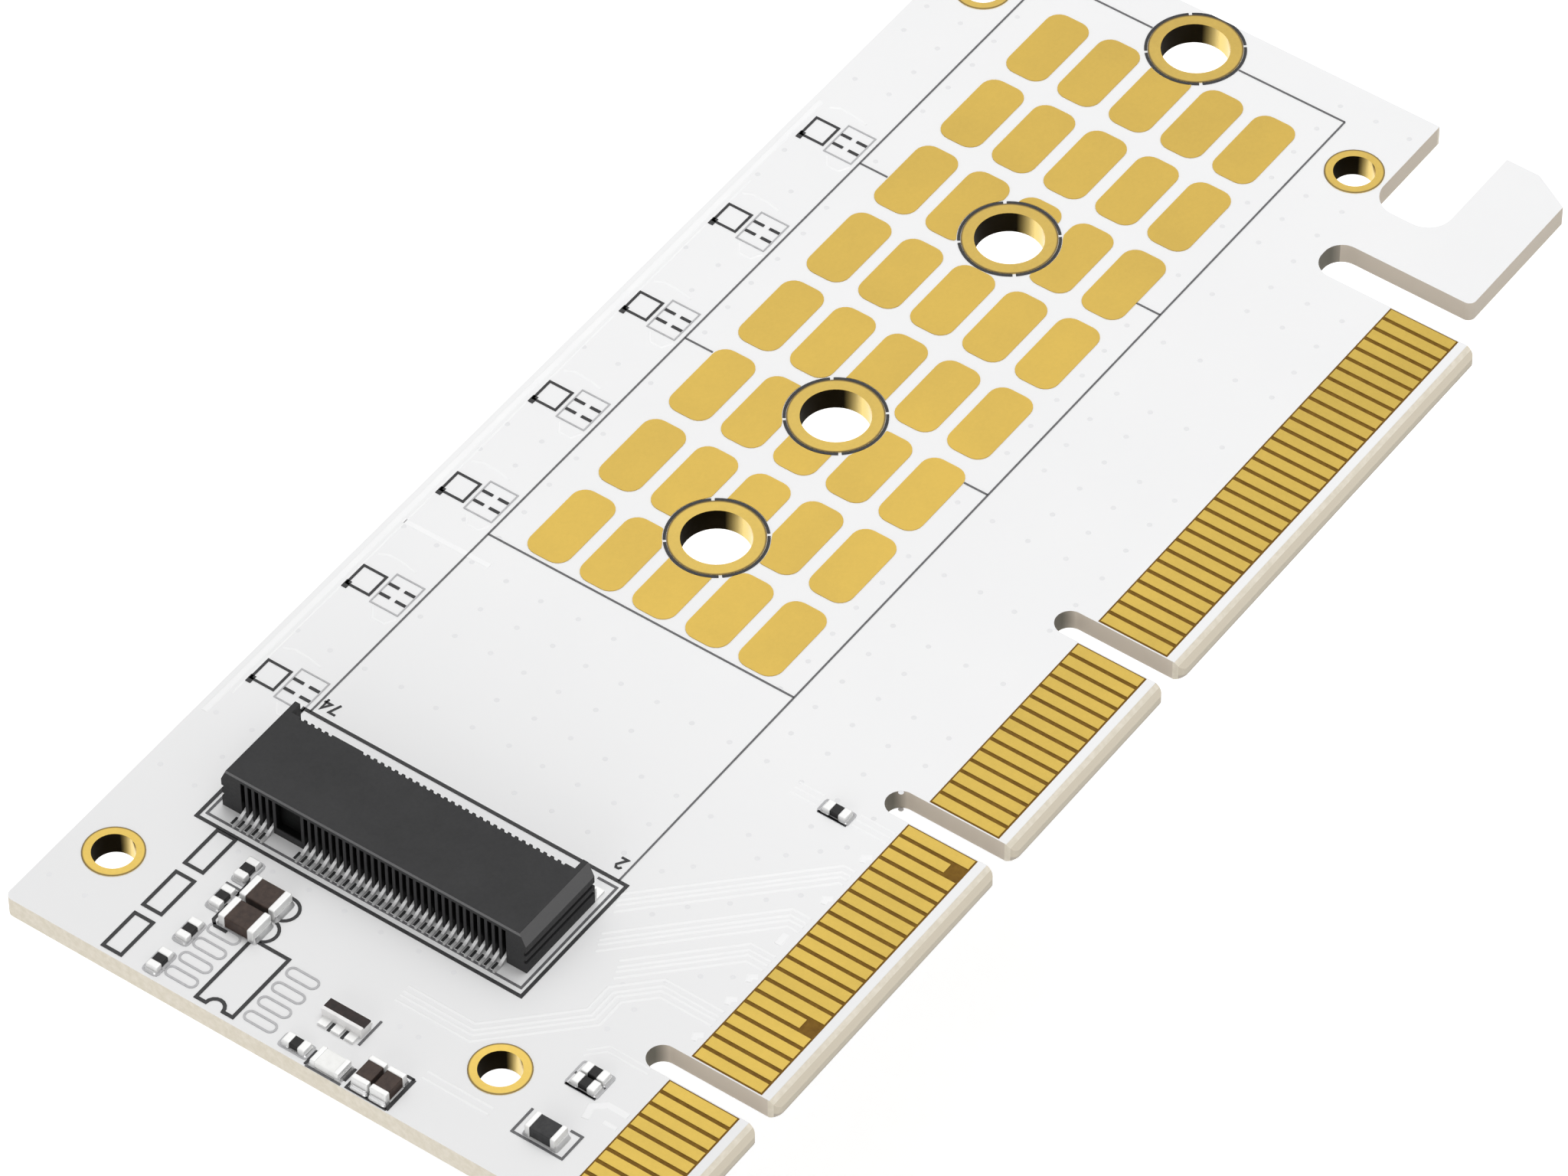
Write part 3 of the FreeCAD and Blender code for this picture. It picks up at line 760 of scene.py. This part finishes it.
thin = [
    stroke(path, FINE_LINE)
    for path in (
        [(20.45, BAY_HIGH), (BAY_END, BAY_HIGH)],
        [(20.45, BAY_LOW), (BAY_END, BAY_LOW)],
        [(BAY_END, BAY_HIGH), (BAY_END, STANDOFF_V + 3.2)],
        [(BAY_END, STANDOFF_V - 3.2), (BAY_END, BAY_LOW)],
        [(BAY_START, BAY_HIGH), (BAY_START, BAY_LOW)],
        *[
            [(STANDOFF_U[length], low), (STANDOFF_U[length], high)]
            for length in (42, 60)
            for low, high in ((BAY_HIGH, 36.55), (18.3, BAY_LOW))
        ],
    )
]
thin += [
    stroke(path, THIN_LINE)
    for path in (
        [(20.0, 17.7), (20.0, 16.37), (10.97, 16.37), (10.97, 38.68), (19.4, 38.68)],
        [(4.35, 8.0), (4.35, 7.2), (2.45, 7.2), (2.45, 10.65), (4.4, 10.65)],
        [(7.85, 8.2), (7.85, 10.3)],
        [(6.92, 8.2), (6.92, 10.3)],
        [(31.28, 8.5), (31.28, 10.5)],
        [(7.5, 33.6), (7.5, 34.6)],
        [(2.4, 21.25), (4.5, 21.25)],
        [(-0.46, 20.35), (-0.46, 22.8)],
    )
]
make_piece("printed_outlines", *joined(thin), thin_ink, "board")

black = [stroke(box_path(10.47, 16.0, 20.45, 39.05), BOLD_LINE, True)]
for u in STANDOFF_U.values():
    for start in (42.0, 132.0, 222.0, 312.0):
        ring = arc_path(u, STANDOFF_V, RING_RADIUS, start, start + 86.0)
        ring[:, 0] = np.minimum(ring[:, 0], RING_END_U)
        black.append(stroke(ring, RING_LINE))
for u0, u1 in ((-0.15, 2.75), (3.5, 6.5), (7.3, 10.3)):
    black.append(stroke(box_path(u0, 36.1, u1, 37.4), BOLD_LINE, True))
chip_outline = box_path(-0.1, CHIP_OUTLINE_V[0], 5.05, CHIP_OUTLINE_V[1])
notch = arc_path(-0.1, sum(CHIP_OUTLINE_V) / 2, 0.6, 90, -90, 9)
black.append(stroke(np.concatenate([chip_outline, notch]), BOLD_LINE, True))
for u in (5.95, 7.85):
    arch = arc_path(u, 30.7, 0.88, 180, 360, 13)
    black.append(stroke(np.concatenate([[(u - 0.88, 31.4)], arch, [(u + 0.88, 31.4)]]), 0.2))
for path, width in (
    ([(4.62, 32.3), (4.62, 33.15), (4.95, 33.5), (6.3, 33.5)], 0.2),
    ([(7.0, 33.5), (8.1, 33.5), (8.5, 33.75)], 0.2),
    ([(-0.4, 17.2), (2.2, 17.2)], 0.24),
    ([(2.2, 17.2), (2.2, 17.75)], 0.16),
    ([(0.15, 20.0), (-0.4, 20.0), (-0.4, 17.2)], 0.15),
    ([(-0.4, 18.6), (0.1, 18.6)], 0.16),
    ([(-0.42, 22.88), (0.75, 22.88)], 0.17),
    ([(-0.1, 20.33), (0.95, 20.33)], 0.15),
    ([(2.2, 23.275), (2.85, 23.275)], 0.2),
    ([(2.2, 22.325), (2.85, 22.325)], 0.2),
):
    black.append(stroke(path, width))
for u in LAMP_PLACES:
    black.append(stroke(box_path(u, 41.35, u + 1.7, 43.0), 0.16, True))
    black.append(stroke([(u - 0.35, 42.95), (u + 0.25, 42.95)], 0.36))
    for dash_u in (u + 0.5, u + 1.4):
        for low, high in ((40.2, 40.95), (39.05, 39.8)):
            black.append(stroke([(dash_u, low), (dash_u, high)], 0.2))


def number(text, u, v, turn):
    """Digits drawn as strokes, written along a line turned by so many degrees from the u axis."""
    cosine, sine = math.cos(math.radians(turn)), math.sin(math.radians(turn))
    spin = np.array([[cosine, sine], [-sine, cosine]])
    strokes = []
    for index, digit in enumerate(text):
        points = (np.array(DIGITS[digit]) + (index * DIGIT_STEP, 0)) * DIGIT_SIZE @ spin + (u, v)
        strokes.append(stroke(points, DIGIT_LINE * DIGIT_SIZE))
    return strokes


black += number("74", 21.85, 37.25, 90)
black += number("2", 22.0, 17.05, 90)
make_piece("printed_frames", *joined(black), black_ink_and_painted_shadow, "board")

pale = []
for u in (0.57, 1.85, 3.12, 4.42):
    for low, high in ((31.3, 33.4), (25.7, 27.8)):
        pale.append(stroke(round_path(u - 0.36, low, u + 0.36, high, 0.34), 0.14, True))
for u in LAMP_PLACES:
    pale.append(stroke(box_path(u - 0.35, 39.0, u + 2.25, 41.0), 0.09, True))
for u in (-0.25, 2.45, 5.45, 7.85):
    pale.append(stroke(round_path(u, 33.5, u + 1.9, 34.55, 0.2, 3), 0.12, True))
for frame_box in ((6.92, 8.2, 8.8, 10.35), (31.28, 8.5, 32.3, 10.55), (-0.15, 23.05, 0.85, 25.0)):
    pale.append(stroke(round_path(*frame_box, 0.15, 3), 0.12, True))
make_piece("printed_pad_frames", *joined(pale), pale_ink, "board")


# ==============================================================
# Drive socket.  One black liquid-crystal-polymer moulding with a row of slots for sprung
# phosphor-bronze contacts above and below the drive, two hold-down tabs soldered at its ends.
# ==============================================================
MOULDING_BLACK = (0.030, 0.030, 0.031)
MOULDING_GREY = (0.036, 0.036, 0.037)
# Painted highlights on the end chamfers and the rear top rim, and painted shade in the recesses of
# the block.
MOULDING_CHAMFER_HIGHLIGHT = (0.11, 0.11, 0.112)
MOULDING_RIM_HIGHLIGHT = (0.15, 0.15, 0.152)
MOULDING_RECESS_SHADE = (0.001, 0.001, 0.001)
TOP_SKIN = 0.04
REAR_SKIN = 0.06
END_SKIN = 1.0
RIM_HEIGHT = 0.24
SPRING_LIGHT = (0.94, 0.94, 0.94)
SPRING_PALE = (0.97, 0.97, 0.97)
SPRING_FOOT = (0.62, 0.62, 0.62)
SPRING_SHADE = (0.012, 0.012, 0.012)
CHANNEL_U = 13.6


def moulding_material():
    """Fine-grained black plastic; whatever lies inside the outer faces of the block, in the
    contact slots and the mouth, is near black with painted shade.  The end chamfers
    and a narrow rim along the top of the rear face carry a painted highlight."""
    finish = Finish("black_moulding")
    coords = finish.coords()
    flow = finish.noise(coords, 350.0)
    grain = finish.noise(coords, 5200.0, 4.0, 0.6)
    low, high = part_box("socket_housing")
    along, across, z = finish.split(coords)
    # Painted shade: near black below the top skin and within the outer walls, in the slots and the
    # mouth.
    inside = finish.below(z, high[2] - TOP_SKIN * MM)
    for distance, axis, skin in ((along, 0, REAR_SKIN * MM), (across, 1, END_SKIN * MM)):
        beyond = finish.above(distance, low[axis] + skin)
        before = finish.below(distance, high[axis] - skin)
        inside = finish.times(inside, finish.times(beyond, before))
    tone = finish.blend(finish.ramp(flow, 0.3, 0.7), MOULDING_BLACK, MOULDING_GREY)
    tone = finish.blend(inside, tone, MOULDING_RECESS_SHADE)
    facing_x, facing_y, facing_z = finish.split(finish.coords("Normal"))
    # Painted highlight on the end chamfers.
    endward = finish.ramp(finish.math("ABSOLUTE", facing_y), 0.6, 0.8)
    chamfer = finish.times(endward, finish.ramp(facing_z, 0.2, 0.35))
    tone = finish.blend(chamfer, tone, MOULDING_CHAMFER_HIGHLIGHT)
    # Painted highlight along the top of the rear face.
    rearward = finish.ramp(facing_x, -0.6, -0.8)
    rim = finish.times(rearward, finish.above(z, high[2] - RIM_HEIGHT * MM))
    return finish.lay(
        Base_Color=finish.blend(rim, tone, MOULDING_RIM_HIGHLIGHT),
        Roughness=finish.ramp(grain, 0.3, 0.7, 0.50, 0.66),
        Normal=finish.bump(grain, 0.35, 0.008 * MM),
        Specular_IOR_Level=0.2,
    )


def bright_metal(name, light, pale, smooth, rough, grain=0.004, spring=False, metallic=0.8):
    """Plated or soldered metal: tone and gloss drift with the plating group, fine grain in relief.
    A spring contact is greyer low down, where solder has run along it, and carries painted shade,
    near black, where it climbs the deep channels at the socket's rear, behind CHANNEL_U."""
    finish = Finish(name)
    coords = finish.coords()
    parts = finish.use(plating, Vector=coords)
    tone = finish.blend(parts["Tone"], light, pale)
    if spring:
        x, _, z = finish.split(coords)
        wetted = finish.ramp(z, (MASK_TOP + 0.26) * MM, (MASK_TOP + 0.18) * MM)
        tone = finish.blend(wetted, tone, SPRING_FOOT)
        # Painted shade: the contact turns near black where it climbs the rear channels.
        shaded_climb = finish.ramp(z, (MASK_TOP + 0.62) * MM, (MASK_TOP + 0.82) * MM)
        at_rear = finish.below(x, (CHANNEL_U - LAYOUT_MIDDLE_U) * MM)
        tone = finish.blend(finish.times(shaded_climb, at_rear), tone, SPRING_SHADE)
    return finish.lay(
        Base_Color=tone,
        Roughness=finish.ramp(parts["Gloss"], 0.30, 0.42, smooth, rough),
        Normal=finish.bump(parts["Grain"], 0.3, grain * MM),
        Metallic=metallic,
    )


spring_metal = bright_metal(
    "spring_contact_plating", SPRING_LIGHT, SPRING_PALE, 0.22, 0.34, spring=True, metallic=0.35
)
tab_metal = bright_metal("tinned_tab", (0.66, 0.66, 0.65), (0.76, 0.76, 0.75), 0.28, 0.42)
dress(moulding_material(), "socket_housing")
dress(spring_metal, "socket_upper_contacts", "socket_lower_contacts")
dress(tab_metal, "socket_tab_low", "socket_tab_high")


# ==============================================================
# Solder.  Each foot and each chip end stands in a reflowed mound of tin-silver-copper alloy
# that climbs the metal in a hollow curve.
# ==============================================================
SOLDER_LIGHT = (0.62, 0.62, 0.62)
SOLDER_PALE = (0.72, 0.72, 0.72)
SQUARENESS = 0.35
FOOT_STEP = 0.25
LAST_FOOT = 75
MIDDLE_FOOT = 38
KEY_OFFSET = 6.125
KEY_HALF = 1.1
REAR_FOOT_U = 11.35
FRONT_FOOT_U = 18.75
FOOT_SOLDER_HEIGHT = 0.09


def mounds(centres, half_base, half_top, height, levels=4, corners=3):
    """Rings of a rounded rectangle stacked from the pad to the metal: at level t the half size is
    top + (base - top) * (1 - t)^2 and the height is h * t, so the sides are hollow.  A ring is
    |cos|^0.35 by |sin|^0.35, each with its own sign, and a hub closes the top."""
    c = np.asarray(centres, float).reshape(-1, 2, 1, 1)
    turn = (np.arange(4 * corners) + 0.5) * 2 * math.pi / (4 * corners)
    t = np.linspace(0, 1, levels)[:, None]
    loops = []
    for wave, base, top in zip((np.cos(turn), np.sin(turn)), half_base, half_top):
        ring = np.sign(wave) * np.abs(wave) ** SQUARENESS
        loops.append(np.append((top + (base - top) * (1 - t) ** 2) * ring, [0 * ring], 0))
    z = MASK_TOP + height * np.append(t, [[1.0]], 0)
    vertices = place(c[:, 0] + loops[0], c[:, 1] + loops[1], z)
    return vertices.reshape(-1, 3), bands(len(c), levels + 1, turn.size)


def foot_line(first):
    """Places across the card of every second contact from the first, without those at the key."""
    steps = [(n - MIDDLE_FOOT) * FOOT_STEP for n in range(first, LAST_FOOT + 1, 2)]
    return [STANDOFF_V + step for step in steps if abs(step - KEY_OFFSET) > KEY_HALF]


solder_metal = bright_metal("reflowed_solder", SOLDER_LIGHT, SOLDER_PALE, 0.24, 0.40, 0.012)
foot_solder = []
# Painted shadow: thin black sheets on the board between the socket's feet, where shade falls.
foot_painted_shadows = []
for first, foot_u, base, top, back, ahead, margin in (
    (1, REAR_FOOT_U, (0.48, 0.125), (0.40, 0.09), 0.22, 0.37, 0.145),
    (2, FRONT_FOOT_U, (0.30, 0.125), (0.22, 0.09), 0.20, 0.20, 0.155),
):
    line = foot_line(first)
    foot_solder.append(mounds([(foot_u, v) for v in line], base, top, FOOT_SOLDER_HEIGHT, 3, 2))
    for v in line:
        foot_painted_shadows.append((foot_u - back, v + margin, foot_u + ahead, v + 2 * FOOT_STEP - margin))
make_piece("socket_foot_solder", *joined(foot_solder), solder_metal, "tin_terminal")
# Painted shadow between the socket's feet: flat black sheets just above the mask.
make_piece("socket_foot_gaps", *flat_quads(foot_painted_shadows, MASK_TOP + RESIN_LIFT), black_ink_and_painted_shadow, "board")


# ==============================================================
# Chip components.  Fired ceramic bricks with burnt-on, tinned ends: brown capacitors, small
# dark resistors, a black ferrite inductor, a four-lead array and a white indicator lamp.
# ==============================================================
CHIP_ROUND = 0.07
CAP_WRAP = 0.04
CORE_LIFT = 0.03
CAP_LIFT = 0.01
SOLDER_REACH = 0.08
SOLDER_CLIMB = 0.45
ARRAY_GLASS_DEPTH = 0.12
ARRAY_BARE_STRIP = 0.22


def soft_bars(specs, corners=4, edge_steps=4):
    """Rounded bricks: a rounded-rectangle section carried along the brick's own length, drawn in
    by r(1 - sin a) where it stands r(1 - cos a) from an end, so that all twelve edges are round.
    A spec is (u, v, z_low, half_along, half_across, height, along_v)."""
    radius = CHIP_ROUND
    turn = np.linspace(0, math.pi / 2, corners)
    phase = np.linspace(0, math.pi / 2, edge_steps)
    inset = radius * (1 - np.sin(phase))
    inset = np.concatenate([inset, inset[::-1]])[:, None]
    step_in = radius * (1 - np.cos(phase))
    spin = (np.arange(4)[:, None] * math.pi / 2 + turn).reshape(-1)
    side_y = np.repeat([1, -1, -1, 1], corners)
    side_z = np.repeat([1, 1, -1, -1], corners)
    sides, rows = spin.size, 2 * edge_steps
    k = np.arange(sides)
    n = (k + 1) % sides
    first = np.stack([np.full(sides, rows * sides), n, k, k], -1)
    tail = (rows - 1) * sides
    last = np.stack([np.full(sides, rows * sides + 1), tail + k, tail + n, tail + n], -1)
    faces = np.concatenate([bands(1, rows, sides), first, last])
    made = []
    for u, v, z_low, along, across, height, along_v in specs:
        middle = z_low + height / 2
        y = side_y * (across - radius - inset) + radius * np.cos(spin)
        z = side_z * (height / 2 - radius - inset) + radius * np.sin(spin) + middle
        x = np.append(step_in - along, (along - step_in)[::-1])[:, None]
        hub = np.array([-along, along])
        if along_v:
            body, caps = place(u - y, v + x, z), place(u, v + hub, middle)
        else:
            body, caps = place(u + x, v + y, z), place(u + hub, v, middle)
        made.append((np.concatenate([body.reshape(-1, 3), caps]), faces))
    return joined(made)


def tidy_faces(faces):
    """Quads whose last two corners are the same become triangles."""
    return [row[:3] if row[2] == row[3] else row for row in faces.tolist()]


def ceramic_material(name, dark, light, smooth, rough):
    finish = Finish(name)
    coords = finish.coords()
    mottle = finish.noise(coords, 2600.0, 4.0, 0.6)
    return finish.lay(
        Base_Color=finish.blend(finish.ramp(mottle, 0.35, 0.65), dark, light),
        Roughness=finish.ramp(mottle, 0.3, 0.7, smooth, rough),
        Normal=finish.bump(mottle, 0.3, 0.01 * MM),
        Specular_IOR_Level=0.25,
    )


brown_ceramic, dark_ceramic, ferrite, lamp_white = [
    ceramic_material(name, dark, light, smooth, rough)
    for name, dark, light, smooth, rough in (
        ("brown_ceramic", (0.040, 0.026, 0.021), (0.066, 0.045, 0.036), 0.42, 0.58),
        ("dark_ceramic", (0.010, 0.010, 0.010), (0.024, 0.023, 0.023), 0.40, 0.56),
        ("black_ferrite", (0.028, 0.028, 0.029), (0.046, 0.046, 0.047), 0.45, 0.62),
        ("lamp_white", (0.84, 0.84, 0.82), (0.90, 0.90, 0.88), 0.28, 0.38),
    )
]
tinned_end = bright_metal(
    "tinned_end", (0.78, 0.78, 0.77), (0.86, 0.86, 0.85), 0.34, 0.50, 0.01, metallic=0.35
)

# length, width, height, length of each end cap, ceramic, slot
RESISTOR = (1.6, 0.8, 0.45, 0.51, dark_ceramic, "dark_ceramic")
BULK_CAPACITOR = (2.5, 1.7, 0.9, 0.45, brown_ceramic, "brown_ceramic")
SMALL_CAPACITOR = (2.0, 1.15, 0.85, 0.4, brown_ceramic, "brown_ceramic")
INDUCTOR = (2.1, 1.3, 0.85, 0.35, ferrite, "dark_ceramic")
LAMP = (2.0, 1.3, 0.55, 0.35, lamp_white, "lamp_body")
chip_solder = []
for name, u, v, along_v, (length, width, height, terminal, ceramic, slot_name) in (
    ("resistor_1", 0.7, 34.0, False, RESISTOR),
    ("resistor_2", 3.4, 34.0, False, RESISTOR),
    ("resistor_3", 6.4, 34.0, False, RESISTOR),
    ("resistor_4", 8.8, 34.1, False, RESISTOR),
    ("resistor_5", 0.35, 24.0, True, RESISTOR),
    ("resistor_6", 7.4, 9.2, True, RESISTOR),
    ("resistor_7", 8.3, 9.2, True, RESISTOR),
    ("resistor_8", 31.75, 9.45, True, RESISTOR),
    ("capacitor_1", 5.65, 31.8, True, BULK_CAPACITOR),
    ("capacitor_2", 7.6, 31.8, True, BULK_CAPACITOR),
    ("capacitor_3", 0.8, 19.25, False, SMALL_CAPACITOR),
    ("capacitor_4", 0.8, 17.95, False, SMALL_CAPACITOR),
    ("inductor", 3.3, 8.9, True, INDUCTOR),
    ("indicator_lamp", 0.3, 21.6, True, LAMP),
):
    half_core = (length - terminal) / 2
    core_height = height - CAP_WRAP - CORE_LIFT
    core = (u, v, MASK_TOP + CORE_LIFT, half_core, width / 2 - CAP_WRAP, core_height, along_v)
    vertices, faces = soft_bars([core])
    body = make_piece(name + "_brick", vertices, tidy_faces(faces), ceramic, slot_name)
    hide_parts(name + "_body")
    caps = []
    for side in (-1, 1):
        cap, hub = [
            (u, v + side * shift) if along_v else (u + side * shift, v)
            for shift in (half_core, half_core + SOLDER_REACH)
        ]
        cap_size = (terminal / 2, width / 2, height - CAP_LIFT)
        caps.append((*cap, MASK_TOP + CAP_LIFT, *cap_size, along_v))
        foot = (terminal / 2 + 0.13, width / 2 + 0.07)
        head = (0.96 * (terminal / 2 + 0.01), 0.96 * (width / 2 + 0.01))
        if along_v:
            foot, head = foot[::-1], head[::-1]
        chip_solder.append(mounds([hub], foot, head, height * SOLDER_CLIMB))
    vertices, faces = soft_bars(caps)
    ends = make_piece(name + "_caps", vertices, tidy_faces(faces), tinned_end, "tin_terminal")
    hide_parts(name + "_ends")
make_piece("chip_solder", *joined(chip_solder), solder_metal, "tin_terminal")


def array_material():
    """White alumina bar; the dark glass over its resistors covers most of the top, and leaves
    bare the strip over the leads."""
    finish = Finish("array_glass_on_alumina")
    coords = finish.coords()
    low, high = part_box("chip_array_body")
    mottle = finish.noise(coords, 2600.0, 4.0, 0.6)
    x, _, z = finish.split(coords)
    top = finish.above(z, high[2] - ARRAY_GLASS_DEPTH * MM)
    far = finish.above(x, low[0] + ARRAY_BARE_STRIP * MM)
    grain = finish.ramp(mottle, 0.35, 0.65)
    glass = finish.blend(grain, (0.016, 0.011, 0.010), (0.034, 0.022, 0.020))
    bar = finish.blend(grain, (0.80, 0.79, 0.78), (0.86, 0.85, 0.84))
    return finish.lay(
        Base_Color=finish.blend(finish.times(top, far), bar, glass),
        Roughness=finish.ramp(mottle, 0.3, 0.7, 0.40, 0.55),
        Normal=finish.bump(mottle, 0.3, 0.01 * MM),
        Specular_IOR_Level=0.25,
    )


dress(array_material(), "chip_array_body")
dress(tinned_end, "chip_array_leads")


# ==============================================================
# Studio.  A white floor under the card, three soft lamps (overhead, far and low at the front),
# an even white surround, and a camera with a long lens above the socket's end of the card.
# ==============================================================
FLOOR_DROP = -0.045
FLOOR_HALF = 2.0
FLOOR_CELLS = 8
FLOOR_GLOW = 0.35
SURROUND_STRENGTH = 0.55


def floor_material():
    """White board; what the camera, gloss and glass rays see gets a little of its own light.  From
    below the camera looks through it, so that the card's underside can be seen."""
    finish = Finish("white_floor")
    grain = finish.noise(finish.coords(), 60.0)
    rays = finish.nodes.new("ShaderNodeLightPath").outputs
    seen = finish.math("MAXIMUM", rays["Is Camera Ray"], rays["Is Glossy Ray"])
    seen = finish.math("MAXIMUM", seen, rays["Is Transmission Ray"])
    material = finish.lay(
        Base_Color=finish.blend(grain, (0.93, 0.93, 0.93), (0.95, 0.95, 0.95)),
        Roughness=0.9,
        Emission_Color=(1, 1, 1),
        Emission_Strength=finish.times(seen, FLOOR_GLOW),
    )
    below = finish.nodes.new("ShaderNodeNewGeometry").outputs["Backfacing"]
    either = finish.nodes.new("ShaderNodeMixShader")
    finish.feed(either.inputs[0], finish.times(below, rays["Is Camera Ray"]))
    finish.feed(either.inputs[1], finish.shader.outputs["BSDF"])
    finish.feed(either.inputs[2], finish.nodes.new("ShaderNodeBsdfTransparent").outputs["BSDF"])
    finish.feed(finish.nodes["Material Output"].inputs["Surface"], either.outputs["Shader"])
    return material


edge_line = np.linspace(-FLOOR_HALF, FLOOR_HALF, FLOOR_CELLS + 1)
floor_x, floor_y = np.meshgrid(edge_line, edge_line)
floor_points = np.stack([floor_x, floor_y, np.full_like(floor_x, FLOOR_DROP)], -1).reshape(-1, 3)
pitch = FLOOR_CELLS + 1
cell = (np.arange(FLOOR_CELLS)[:, None] * pitch + np.arange(FLOOR_CELLS)).reshape(-1)
floor_faces = np.stack([cell, cell + 1, cell + pitch + 1, cell + pitch], -1)
floor_mesh = bpy.data.meshes.new("floor")
floor_mesh.from_pydata(floor_points.tolist(), [], floor_faces.tolist())
floor_mesh.materials.append(floor_material())
floor = show("floor", floor_mesh)

world = bpy.data.worlds.new("studio")
bpy.context.scene.world = world
world.use_nodes = True
surround = world.node_tree.nodes["Background"]
surround.inputs["Color"].default_value = (1.0, 1.0, 1.0, 1.0)
surround.inputs["Strength"].default_value = SURROUND_STRENGTH


def stand(name, item, right, up, back, spot):
    """Object for a lamp or the camera: its own x, y and z axes are right, up and back."""
    holder = show(name, item)
    rows = [[right[i], up[i], back[i], spot[i]] for i in range(3)]
    holder.matrix_world = Matrix(rows + [[0, 0, 0, 1]])
    return holder


def soft_lamp(name, spot, size, watts):
    """Square area lamp at spot, facing the middle of the card."""
    lamp = bpy.data.lights.new(name, "AREA")
    lamp.shape = "SQUARE"
    lamp.size = size
    lamp.energy = watts
    back = np.array(spot) / np.linalg.norm(spot)
    right = np.cross((0.0, 0.0, 1.0), back)
    right /= np.linalg.norm(right)
    stand(name, lamp, right, np.cross(back, right), back, spot)


soft_lamp("lamp_overhead", (0.10, -0.05, 0.45), 0.30, 0.82)
soft_lamp("lamp_far_panel", (0.27, 0.24, 0.50), 0.50, 0.68)
soft_lamp("lamp_low_front", (-0.58, -0.10, 0.10), 0.40, 0.9)

camera = bpy.data.cameras.new("camera")
camera.lens = 214.98
camera.sensor_width = 36.0
camera.clip_start = 0.01
bpy.context.scene.camera = stand(
    "camera",
    camera,
    right=(0.58341, -0.81217, -0.00347),
    up=(0.60254, 0.42995, 0.67238),
    back=(-0.54459, -0.39436, 0.74020),
    spot=(-0.30107, -0.21454, 0.40439),
)
bpy.context.scene.view_settings.view_transform = "Standard"
